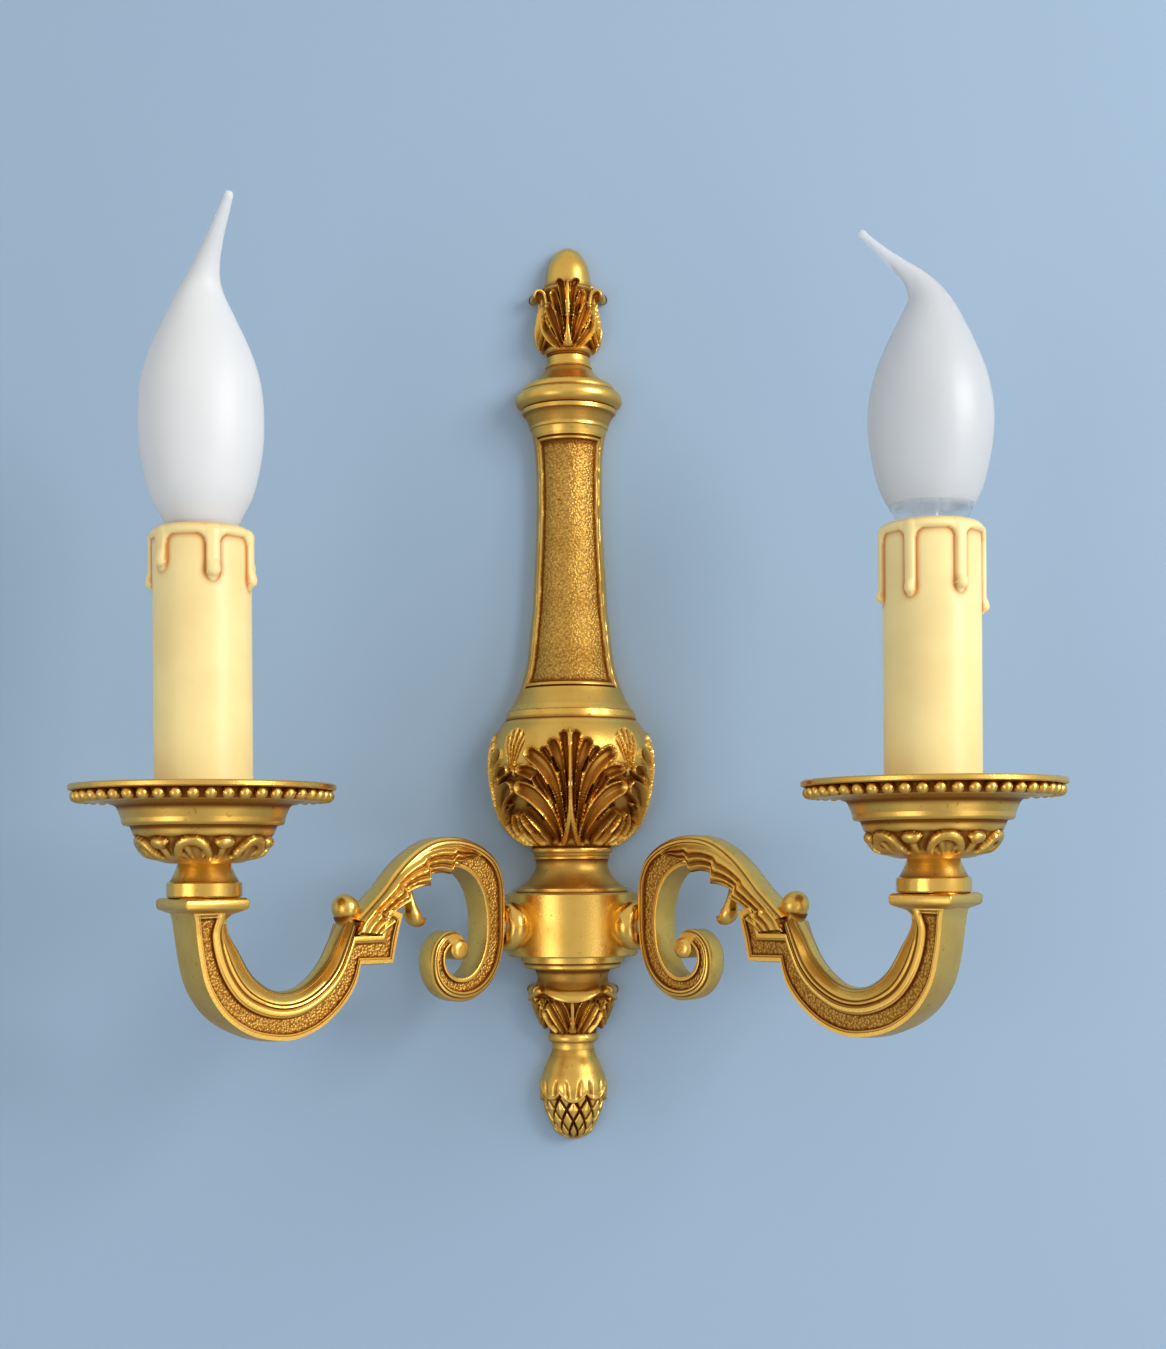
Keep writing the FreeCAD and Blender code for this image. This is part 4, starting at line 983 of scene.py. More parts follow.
class Finishes:
    """Every finish on the light, each built once."""

    def __init__(self) -> None:
        """Build the finishes and keep them by name."""
        made = [
            BrassFinish("cast_brass"),
            BrassFinish("turned_brass", roughness=0.20, grain=0.00003,
                        shade=(0.86, 0.51, 0.10)),
            # The ivory's second colour is painted shade, laid where the tube's moulding is hollow,
            # and faintly at random.
            MouldedFinish("ivory_plastic", (0.98, 0.80, 0.36), (0.62, 0.23, 0.03), 0.38, 0.06),
            MouldedFinish("holder_plastic", (0.018, 0.016, 0.015), (0.03, 0.028, 0.026), 0.28),
            MouldedFinish("insulator", (0.72, 0.71, 0.66), (0.5, 0.48, 0.43), 0.25),
            MouldedFinish("lead_sheath", (0.62, 0.58, 0.48), (0.42, 0.38, 0.30), 0.5),
            SteelFinish("plated_steel", (0.62, 0.62, 0.60)),
            SteelFinish("lamp_metal", (0.80, 0.78, 0.74), 0.22),
            SteelFinish("tungsten", (0.20, 0.19, 0.18), 0.45),
            LampGlass("frosted_glass", 40.0, veil=0.62),
            LampGlass("part_frosted_glass", 119.8, 0.38, veil=0.36),
            LampGlass("clear_glass", 400.0),
        ]
        self.by_name = {finish.name: finish.build() for finish in made}

    def dress(self, piece: Piece, name: str) -> None:
        """Give a piece one finish all over."""
        piece.data.materials.clear()
        piece.data.materials.append(self.by_name[name])

    def fit(self, piece: Piece, name: str, node: str, body: str = BODY,
            slot: str | None = None) -> None:
        """Dress a piece, put it in its CAD node's place on a body and log it.

        Args:
            piece: the mesh object.
            name: the finish's name.
            node: the CAD node that the piece replaces.
            body: the body that it rides on.
            slot: the record's material slot, where it isn't named like the finish; not used.
        """
        self.dress(piece, name)
        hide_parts(node)
        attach(piece, body)
        LOG.info("%s: %d faces", piece.name, len(piece.data.polygons))


# ---- the column


@dataclass
class Column:
    """The half-round castings that stack up on the wall."""

    finishes: Finishes
    pine_top: float = -39.3
    drum_half: float = 10.3
    neck_top: float = 23.0
    vase_top: float = 69.1
    shaft_top: float = 161.0
    collar_top: float = 183.3
    panel_half_turn: float = 66.0
    panel_foot: float = 76.4
    panel_head: float = 158.2
    panel_depth: float = 1.1
    groove_depth: float = 0.6
    plate_level: float = 51.5
    plate_seat: Triple = (47.6, 3.0, 18.2)
    plate_screws: float = 21.1

    def build(self) -> None:
        """Make and dress every casting of the column."""
        for make, node in ((self.top_finial, "top_finial"), (self.collar, "column_collar"),
                           (self.shaft, "column_shaft"), (self.vase, "vase"),
                           (self.drum, "hub"), (self.pendant, "pendant_cup"),
                           (self.pine_cone, "pine_finial")):
            self.finishes.fit(make(), "cast_brass", node)

    def top_finial(self) -> Piece:
        """Make the egg in its leaf cup, with a curled leaf on each side.

        Returns:
            The casting.
        """
        outline = (
            Outline(0, self.collar_top).line(7.1, self.collar_top).line(6.9, 184.9)
            .line(6.6, 185.1).line(6.9, 185.4).line(7.0, 185.9).line(7.4, 186.1)
            .curve((9.0, 187.8), (10.1, 190.4), (10.4, 193.2), (9.9, 197.0), (9.2, 200.8),
                   (8.9, 204.0), (8.4, 206.8)).line(7.6, 207.6)
            .curve((7.3, 210.4), (6.7, 214.2), (5.5, 216.9), (3.6, 219.5), (0, 221.3)))
        leaf = (
            Lobe(((2.6, 188.4, 0.9), (5.4, 190.6, 1.5), (7.8, 194.0, 1.9), (8.9, 197.2, 1.6))),
            Lobe(((1.9, 189.0, 0.8), (3.4, 193.0, 1.2), (5.2, 197.6, 1.7), (6.6, 201.2, 1.5))),
            Lobe(((1.4, 190.0, 0.6), (2.4, 196.0, 1.0), (3.6, 201.4, 1.4), (4.7, 205.4, 1.2))),
            Lobe(((1.0, 198.0, 0.5), (1.5, 204.0, 1.0), (2.2, 208.6, 1.3), (2.9, 209.6, 1.1))))
        eyes = (
            Lobe(((7.6, 194.4, 0.5), (8.3, 196.2, 0.75))),
            Lobe(((3.3, 198.6, 0.3), (3.9, 200.6, 0.5), (4.3, 202.0, 0.3))))

        def relief(around: Grid, level: Grid) -> Grid:
            """Carve one leaf to the front and one to each side.

            Args:
                around: places round the axis.
                level: their levels.

            Returns:
                How far the skin stands out there.
            """
            level = level + 1.2
            height = 0 * around - 1.1 * ramp(level, 187.6, 188.8) * (
                1 - ramp(level, 206.5, 208.6))
            for turn in (-1, 1, 0):
                across = around - turn * 15.4
                height = facing_leaf(leaf, Carving(0.0, 0.75, 0.95), across, level, height)
                height = facing_leaf(eyes, Carving(0.1, 0.3, 1.9), across, level, height)
                width = 0.62 + 1.0 * (1 - ramp(level, 188.0, 195.0))
                rib = np.exp(-(across / width) ** 4) * ramp(level, 187.4, 188.6) * (
                    1 - ramp(level, 209.4, 210.4))
                height = np.where(rib > 0.02, np.maximum(height, -1.0 + 1.75 * rib), height)
            return height * ramp(level, 187.2, 188.0) * (1 - ramp(level, 209.8, 211.2))

        body = Turning("finial_cup", outline, columns=170, pitch=0.22, relief=relief,
                       sunk_depth=2.2).make()
        ears = [curled_leaf("ear", ((7.6, 194.0), (8.0, 198.4), (8.5, 202.2), (9.4, 204.6),
                                    (10.6, 205.0), (11.2, 203.8), (10.7, 202.4)),
                            (2.8, 3.4, 3.9, 4.3, 4.4, 4.2, 3.4), 1.3, bearing, ribs=0.5)
                for bearing in (-78, 78)]
        return Bench.join("finial_carved", [body, *ears])

    def collar(self) -> Piece:
        """Make the ringed capital under the finial.

        Returns:
            The casting.
        """
        outline = (
            Outline(0, self.shaft_top).line(12.3, self.shaft_top).line(12.8, 161.4)
            .line(12.8, 162.2).curve((13.5, 164.0), (14.7, 166.0)).line(15.4, 166.3)
            .line(15.5, 167.5).line(14.9, 167.8)
            .curve((16.2, 168.2), (17.2, 169.4), (17.4, 171.0), (16.9, 172.4), (15.9, 173.1))
            .line(15.2, 173.3).line(15.1, 174.3).curve((14.6, 175.2), (13.9, 175.8))
            .line(13.4, 175.9).curve((11.0, 177.5), (8.8, 179.4), (7.7, 180.9)).line(7.5, 181.2)
            .line(7.75, 181.5).line(7.5, 181.8).line(7.1, self.collar_top)
            .line(0, self.collar_top))
        return Turning("collar_turned", outline, pitch=0.3, sharp=32).make()

    def shaft(self) -> Piece:
        """Make the slim shaft, with its hammered panel between double frames.

        Returns:
            The casting.
        """
        outline = (
            Outline(0, self.vase_top).line(20.3, self.vase_top).line(20.4, 69.3)
            .curve((19.0, 71.4), (17.3, 74.6), (15.9, 78.4), (14.9, 82.0), (13.9, 87.0),
                   (13.1, 94.9), (12.1, 103.5), (11.7, 112.6), (11.1, 122.0), (10.7, 134.0),
                   (10.7, 146.0), (11.1, 154.0), (11.9, 159.4), (12.3, self.shaft_top))
            .line(0, self.shaft_top))

        def inset(around: Grid, level: Grid) -> Grid:
            """Measure how far inside the panel's frame each point lies.

            Args:
                around: places round the axis.
                level: their levels.

            Returns:
                The distance.
            """
            radius = np.interp(level, (75, 78.4, 82, 87, 95, 104, 122, 134, 146, 154, 161),
                               (17.1, 15.9, 14.9, 13.9, 13.1, 12.1, 11.1, 10.7, 10.7, 11.1, 12.3))
            edge = radius * math.radians(self.panel_half_turn) - np.abs(around)
            return np.minimum(edge, np.minimum(level - self.panel_foot, self.panel_head - level))

        def relief(around: Grid, level: Grid) -> Grid:
            """Cut the frame's fine groove and the sunk panel.

            Args:
                around: places round the axis.
                level: their levels.

            Returns:
                How far the skin stands out there.
            """
            inside = inset(around, level)
            groove = ramp(inside, 0.1, 0.3) * (1 - ramp(inside, 0.6, 0.8))
            floor = ramp(inside, 1.5, 1.9)
            hammer = 0.06 * np.sin(around * 6.9 + np.sin(level * 4.1) * 1.7) * np.sin(
                level * 6.3 + np.sin(around * 5.3) * 2.1)
            return -self.groove_depth * groove + floor * (hammer - self.panel_depth)

        def stipple(around: Grid, level: Grid) -> Grid:
            """Mark the panel's floor."""
            return ramp(inset(around, level), 1.5, 1.9)

        return Turning("shaft_panelled", outline, columns=190, pitch=0.27, relief=relief,
                       stipple=stipple, patina_depth=0.3, sunk_depth=9.0).make()

    def vase(self) -> Piece:
        """Make the leafed vase, hollow behind like its casting.

        Returns:
            The casting.
        """
        outline = (
            Outline(0, self.neck_top).line(12.6, self.neck_top)
            .curve((13.3, 23.5), (13.4, 24.5), (12.9, 25.2))
            .curve((15.8, 26.5), (18.6, 28.5), (21.8, 32.1), (24.4, 37.9), (26.0, 45.0),
                   (26.6, 51.7), (26.0, 57.6), (24.3, 62.4), (21.9, 65.8)).line(21.3, 66.2)
            .line(21.3, 66.6).line(20.9, 68.9).line(20.6, self.vase_top).line(0, self.vase_top))
        leaf = (
            Lobe(((3.6, 33.0, 0.9), (5.2, 41.0, 1.6), (9.0, 47.4, 2.1), (13.0, 50.6, 2.3),
                 (16.0, 51.2, 1.8))),
            Lobe(((7.6, 41.5, 0.8), (9.6, 45.2, 1.1), (11.2, 48.4, 1.1))),
            Lobe(((4.4, 27.5, 1.0), (5.8, 33.5, 1.8), (8.9, 39.2, 2.6), (13.0, 43.5, 3.0),
                 (16.6, 45.2, 2.6))),
            Lobe(((9.6, 27.2, 1.3), (12.8, 29.0, 2.0), (15.4, 32.0, 2.4), (17.4, 35.4, 1.8))),
            Lobe(((2.6, 30.0, 0.9), (3.7, 40.0, 1.5), (5.6, 48.0, 2.2), (8.8, 53.6, 2.7),
                 (12.4, 56.6, 2.5))),
            Lobe(((4.4, 52.2, 0.8), (6.2, 55.0, 1.2), (8.0, 57.6, 1.3))),
            Lobe(((1.9, 38.0, 0.7), (2.6, 50.0, 1.4), (3.9, 56.0, 2.0), (5.3, 59.8, 1.9))),
            Lobe(((1.0, 46.0, 0.6), (1.3, 56.0, 1.2), (2.0, 62.6, 1.6))))
        eyes = (
            Lobe(((3.7, 50.4, 0.5), (4.6, 52.8, 0.85), (5.4, 55.0, 0.5))),
            Lobe(((5.1, 40.2, 0.5), (6.1, 43.2, 0.9), (7.0, 46.0, 0.5))),
            Lobe(((14.6, 30.8, 0.7), (15.9, 33.0, 1.0), (16.6, 34.8, 0.6))),
            Lobe(((10.2, 34.6, 0.5), (12.8, 38.4, 0.8), (15.4, 39.6, 0.6))))
        carving = Carving(-0.25, 1.0, 1.35)

        def relief(around: Grid, level: Grid) -> Grid:
            """Carve leaves to the front and sides, with fans between them.

            Args:
                around: places round the axis.
                level: their levels.

            Returns:
                How far the skin stands out there.
            """
            radius = np.interp(level, (25, 28.5, 32, 38, 45, 52, 57.6, 62.4, 66),
                               (12.9, 18.6, 21.8, 24.4, 26.0, 26.6, 26.0, 24.3, 21.6))
            level = level / 0.966
            quarter = radius * math.radians(90.0)
            belt = ramp(level, 25.4, 26.6) * (1 - ramp(level, 50.0, 54.0))
            height = -1.7 * belt - 0.15
            for turn in (-0.5, 0.5):
                across = (around - turn * quarter) * 25.0 / radius
                height = shell_fan(across, level, height, 49.0, 65.2, 6.3, 5)
            for turn in (-1, 1, 0):
                across = (around - turn * quarter) * 25.0 / np.maximum(radius, 20.0)
                height = facing_leaf(leaf, carving, across, level, height)
                height = facing_leaf(eyes, Carving(-0.2, 0.55, 2.4), across, level, height)
                split = 3.5 * np.clip((41.0 - level) / 15.0, 0, 1) ** 2
                stem = np.abs(np.abs(across) - split)
                width = 0.72 + 0.5 * (1 - ramp(level, 27.0, 50.0))
                rib = np.exp(-(stem / width) ** 4) * (1 - ramp(level, 64.2, 65.2))
                height = np.where(rib > 0.02, np.maximum(height, -1.2 + 1.9 * rib), height)
                under = (np.abs(across) < split) & (rib < 0.3)
                height = np.where(under, -2.2, height)
            return height * ramp(level, 26.2, 27.2) * (1 - ramp(level, 66.6, 68.0))

        body = Turning("vase_carved", outline, columns=290, pitch=0.26, relief=relief,
                       patina_depth=1.0, sunk_depth=4.0).make()
        hollow = Turning("hollow", Outline(0, 32.0).line(11.7, 32.0)
                         .curve((17.9, 38.0), (19.5, 51.5), (17.5, 63.4), (13.6, 67.4))
                         .line(0, 67.4), Sweep.FULL, 1.5, 72).make()
        Bench.cut(body, hollow)
        Bench.clear()
        bpy.ops.mesh.primitive_cube_add(size=1, scale=Vector(self.plate_seat) * MM,
                                        location=(0, 0, (self.plate_level + DRUM_LEVEL) * MM))
        slot = Bench.named("plate_seat")
        Bench.place(slot, slot.matrix_world.copy())
        Bench.cut(body, slot)
        for across in (-self.plate_screws, self.plate_screws):
            Bench.cut(body, Bench.cylinder("screw_hole", 1.35, (across, 1, self.plate_level),
                                           (across, -9, self.plate_level), 20))
        Bench.cut(body, Bench.cylinder("earth_hole", 3.0, (8, 1, 28.4), (8, -1.6, 28.4), 28))
        return body

    def drum(self) -> Piece:
        """Make the drum that carries the arms, hollow behind, and its waisted neck.

        Returns:
            The casting.
        """
        outline = (
            Outline(0, -self.drum_half).line(20.8, -self.drum_half).line(21.3, -9.8)
            .line(21.3, 9.8).line(20.8, self.drum_half).line(18.1, 10.35).line(18.0, 11.7)
            .curve((16.2, 12.7), (13.8, 15.0), (12.1, 17.6), (11.7, 19.6), (11.9, 21.0))
            .line(12.5, 21.3).line(12.6, 21.9).line(12.2, 22.2).line(12.6, self.neck_top)
            .line(0, self.neck_top))
        body = Turning("drum_turned", outline, columns=120, pitch=0.3, sharp=30).make()
        Bench.cut(body, Turning("drum_hollow", Outline(0, -7.7).line(17.1, -7.7).line(17.1, 7.7)
                                .line(0, 7.7), Sweep.FULL, 4.0, 96).make())
        for side in Side:
            out = Vector((math.cos(side.turn), math.sin(side.turn), 0))
            Bench.cut(body, Bench.cylinder("nipple_hole", 4.1, out * 11.6, out * 24))
        return body

    def pendant(self) -> Piece:
        """Make the ringed neck and leafed cup under the drum.

        Returns:
            The casting.
        """
        outline = (
            Outline(0, self.pine_top).line(6.8, self.pine_top).line(7.0, -38.3)
            .curve((7.9, -38.0), (8.2, -36.9), (7.8, -35.6)).line(7.5, -35.2)
            .curve((9.6, -33.2), (11.4, -29.8), (12.7, -26.4), (13.4, -23.4), (13.3, -21.6))
            .curve((12.2, -20.2), (11.5, -18.2), (11.8, -16.0), (12.4, -14.6)).line(15.4, -14.3)
            .line(15.8, -13.9).line(15.8, -12.6).line(16.9, -12.2).line(17.0, -self.drum_half)
            .line(0, -self.drum_half))
        leaf = (
            Lobe(((4.4, -34.6, 1.0), (7.4, -31.6, 1.5), (9.4, -28.4, 1.6))),
            Lobe(((2.2, -34.8, 0.9), (4.6, -31.0, 1.4), (7.4, -26.4, 1.6))),
            Lobe(((0.9, -35.0, 0.7), (1.7, -31.0, 1.1), (3.0, -27.4, 1.5), (4.8, -24.4, 1.5))))
        eyes = (
            Lobe(((7.0, -32.0, 0.45), (8.0, -30.4, 0.7))),
            Lobe(((10.6, -26.8, 0.7), (11.6, -24.6, 0.9))))

        def relief(around: Grid, level: Grid) -> Grid:
            """Carve the cup's leaves, and the lip that droops over them.

            Args:
                around: places round the axis.
                level: their levels.

            Returns:
                How far the skin stands out there.
            """
            height = 0 * around - 0.9 * ramp(level, -35.4, -34.4) * (
                1 - ramp(level, -24.0, -21.0))
            for turn in (-1, 1, 0):
                across = around - turn * 20.4
                height = facing_leaf(leaf, Carving(-0.05, 0.85, 0.9), across, level, height)
                height = facing_leaf(eyes, Carving(0.0, 0.35, 2.0), across, level, height)
                rib = np.exp(-(across / (0.7 + 1.1 * (1 - ramp(level, -36.0, -31.0)))) ** 4)
                height = np.where(rib > 0.05, np.maximum(height, 1.4 * rib - 0.9), height)
                edge = -24.8 + 0.034 * across ** 2
                lip = ramp(level, edge - 0.35, edge + 0.35) * (1 - ramp(np.abs(across), 8.6, 9.4))
                body = 0.3 + 1.1 * np.exp(-((level - edge - 0.6) / 1.7) ** 2)
                body = body * (1 - ramp(level, -20.5, -17.8))
                height = height * (1 - lip) + body * lip
            return height * ramp(level, -35.4, -34.6) * (1 - ramp(level, -19.4, -17.0))

        body = Turning("pendant_cup_carved", outline, columns=180, pitch=0.22, relief=relief,
                       sunk_depth=2.2).make()
        tips = [curled_leaf("tip", ((10.4, -27.8), (11.1, -25.0), (11.9, -22.6), (12.7, -20.9),
                                    (13.2, -21.6), (12.9, -23.2)),
                            (2.8, 3.8, 4.5, 4.8, 4.6, 3.6), 1.3, bearing, ribs=0.5)
                for bearing in (-76, 76)]
        return Bench.join("pendant_carved", [body, *tips])

    def pine_cone(self) -> Piece:
        """Make the pine-cone drop.

        Returns:
            The casting.
        """
        top = self.pine_top
        outline = (
            Outline(0, -70.5)
            .curve((2.4, -69.9), (4.6, -68.5), (6.5, -66.4), (8.2, -63.0), (9.4, -58.8),
                   (10.1, -54.4), (10.2, -51.2), (9.8, -48.4), (8.8, -45.4), (7.4, -42.6),
                   (6.8, -40.8)).line(6.8, top).line(0, top))

        def relief(around: Grid, level: Grid) -> Grid:
            """Carve the scales, and the petals that hang over them.

            Args:
                around: places round the axis.
                level: their levels.

            Returns:
                How far the skin stands out there.
            """
            radius = np.interp(level, (-70.5, -69.9, -68.5, -66.4, -63, -58.8, -54.4, -51.2),
                               (0.5, 2.4, 4.6, 6.5, 8.2, 9.4, 10.1, 10.2))
            angle = around / radius
            row = (level + 71.6) / 3.9
            lean = angle * 6.4 / math.pi
            first = np.abs((row * 0.5 + lean) % 1.0 - 0.5) * 2
            second = np.abs((row * 0.5 - lean) % 1.0 - 0.5) * 2
            scale = np.minimum(1 - first, 1 - second)
            fade = (1 - ramp(level, -57.2, -54.6)) * ramp(level, -70.4, -68.6)
            height = fade * (1.15 * ramp(scale, 0.0, 0.34) + 0.5 * scale - 1.2)
            for turn in (-2, 2, -1, 1, 0):
                across = around - turn * radius * math.radians(43.0)
                bottom = -57.4 + 0.17 * across ** 2 + 0.7 * (turn % 2)
                inside = ramp(level, bottom - 0.25, bottom + 0.25) * (
                    1 - ramp(np.abs(across), 4.2, 4.5))
                rise = 0.85 * (1 - ramp(level, -53.5, -47.0))
                fold = np.exp(-((np.abs(across) - 1.5 - 0.12 * (level + 57.0)) / 0.55) ** 2)
                edge = np.exp(-((level - bottom - 0.6) / 0.6) ** 2)
                petal = rise * (1.0 + 0.45 * edge) - 0.6 * fold * (1 - ramp(
                    level, -52.0, -49.5)) * ramp(level, bottom + 0.4, bottom + 1.6)
                height = height * (1 - inside) + petal * inside
            return height * ramp(level, -70.3, -69.2)

        return Turning("pine_cone_carved", outline, columns=180, pitch=0.2, relief=relief,
                       patina_depth=0.5, sunk_depth=2.4).make()


# ---- the arms


class Moulding(Enum):
    """The cross-sections of the arm's bands: (edge, mm from it, mm in from the face, patina).

    Edge 0 is a band's outer edge and edge 1 its inner one.
    """

    BEND = (
        (0, 0.3, 0.0, 0.0), (0, 1.45, 0.0, 0.0), (0, 1.6, 0.4, 0.7), (0, 2.1, 0.4, 0.15),
        (0, 2.25, 1.25, 1.0), (0, 3.0, 1.25, 0.35), (1, -3.0, 1.25, 0.35), (1, -2.4, 1.25, 1.0),
        (1, -2.2, 0.4, 0.5), (1, -1.7, 0.3, 0.1), (1, -1.5, 0.05, 0.0), (1, -0.9, 0.0, 0.0),
        (1, -0.2, 0.1, 0.0))
    SCROLL = (
        (0, 0.0, 2.1, 0.0), (0, 0.7, 1.7, 0.0), (0, 0.85, 1.6, 0.7), (0, 1.05, 0.9, 0.6),
        (0, 1.2, 0.55, 0.0), (0, 1.9, 0.35, 0.0), (0, 2.05, 0.65, 0.8), (0, 2.25, 0.65, 0.7),
        (0, 2.4, 0.15, 0.0), (0, 3.0, 0.1, 0.0), (0, 3.2, 1.15, 1.0), (0, 4.0, 1.2, 0.3),
        (1, -2.4, 1.2, 0.3), (1, -1.7, 1.15, 1.0), (1, -1.5, 0.1, 0.1), (1, -0.8, 0.0, 0.0),
        (1, -0.2, 0.1, 0.0))


@dataclass
class Band:
    """A flat band bent along two edges, with a sunk panel on both of its sides."""

    name: str
    outer: Grid
    inner: Grid
    half_width: Sequence[float]
    moulding: Moulding
    reach: float
    panel: tuple[float, float] = (0.04, 0.97)
    crown: float = 0.5

    @staticmethod
    def edge(curve: Sequence[Point], corners: Sequence[Point] = (), count: int = 170) -> Grid:
        """Draw one edge of a band: a smooth run, and then straight ones.

        Args:
            curve: the points of the smooth run.
            corners: the ends of the straight runs that follow it.
            count: how many points the smooth run is drawn with.

        Returns:
            The edge's points.
        """
        drawn = smooth_line(np.array(curve, float), count)
        for corner in corners:
            share = np.linspace(0, 1, 13)[1:, None]
            drawn = np.concatenate([drawn, drawn[-1] + (np.array(corner) - drawn[-1]) * share])
        return drawn

    def make(self) -> Piece:
        """Lay the band's skin and close its ends.

        Returns:
            The new closed mesh object, in the arm's own plane.
        """
        count = len(self.outer)
        share = np.linspace(0, 1, count)
        half = np.interp(share, np.linspace(0, 1, len(self.half_width)), self.half_width)
        reach = np.linalg.norm(self.inner - self.outer, axis=1)
        towards = (self.inner - self.outer) / (reach[:, None] + 1e-9)
        first, last = self.panel
        sunk = 0.4 * ramp(share, first, first + 0.006) + 0.6 * ramp(
            share, first + 0.014, first + 0.020)
        sunk = sunk * (1 - ramp(share, last - 0.012, last))
        face = self.moulding.value
        outer_step = face[0][2]
        rows, patina, stipple = [], [], []

        def add(sign: float, edge: float, along: float, deep: float, darkening: float) -> None:
            """Lay one line of the band's skin.

            Args:
                sign: the side of the arm, or 0 between them.
                edge: the edge it follows.
                along: how far from that edge it lies.
                deep: how far in from the face.
                darkening: how much patina it has.
            """
            room = np.clip(reach / self.reach, 0.25, 1.0)
            place = edge * reach + along * room
            floor = (edge == 0 and along > 1.5) or (edge == 1 and along < -1.2)
            depth = (deep * sunk if floor else deep + 0 * share) * np.clip(room * 1.4, 0, 1)
            spot = self.outer + towards * place[:, None]
            rows.append(np.column_stack([spot[:, 0], sign * np.maximum(half - depth, 0),
                                         spot[:, 1]]))
            patina.append(darkening * (sunk if floor else 1.0) * np.ones(count))
            stipple.append(sunk * float(floor and deep > 1.0))

        for edge, along, deep, darkening in face:
            add(-1.0, edge, along, deep, darkening)
        add(0.0, 1, self.crown, 0.0, 0.0)
        for edge, along, deep, darkening in face[::-1]:
            add(1.0, edge, along, deep, darkening)
        if outer_step > 1:
            add(1.0, 0, -0.35, outer_step + 0.7, 0.0)
            add(-1.0, 0, -0.35, outer_step + 0.7, 0.0)
        else:
            add(0.0, 0, -self.crown, 0.0, 0.0)
        for line in (rows, patina, stipple):
            line.append(line[0])
        piece = Bench.skin(self.name, np.stack(rows, axis=1), patina=np.stack(patina, axis=1),
                           stipple=np.stack(stipple, axis=1))
        Bench.close(piece, 30)
        return piece


def curl(name: str, path: Sequence[Triple], wide: float) -> Piece:
    """Make a fat curl in the arm's plane, such as the hooked bud.

    Args:
        name: the new object's name.
        path: (out, level, radius) along the curl.
        wide: how much wider it is across the arm than in its plane.

    Returns:
        The closed mesh.
    """
    line = smooth_line(np.array(path, float), 30)
    along = direction(line)
    turn = np.linspace(0, 2 * math.pi, 29)[None, :]
    across, lift = line[:, 2:] * wide * np.cos(turn), line[:, 2:] * np.sin(turn)
    points = np.stack([line[:, :1] - along[:, 1:] * lift, across,
                       line[:, 1:2] + along[:, :1] * lift], axis=2)
    darkening = 0.8 * (1 - ramp(np.linspace(0, 1, 30), 0.0, 0.25))[:, None] + 0 * across
    piece = Bench.skin(name, points, patina=darkening, stipple=0 * across)
    Bench.close(piece, 80)
    return piece


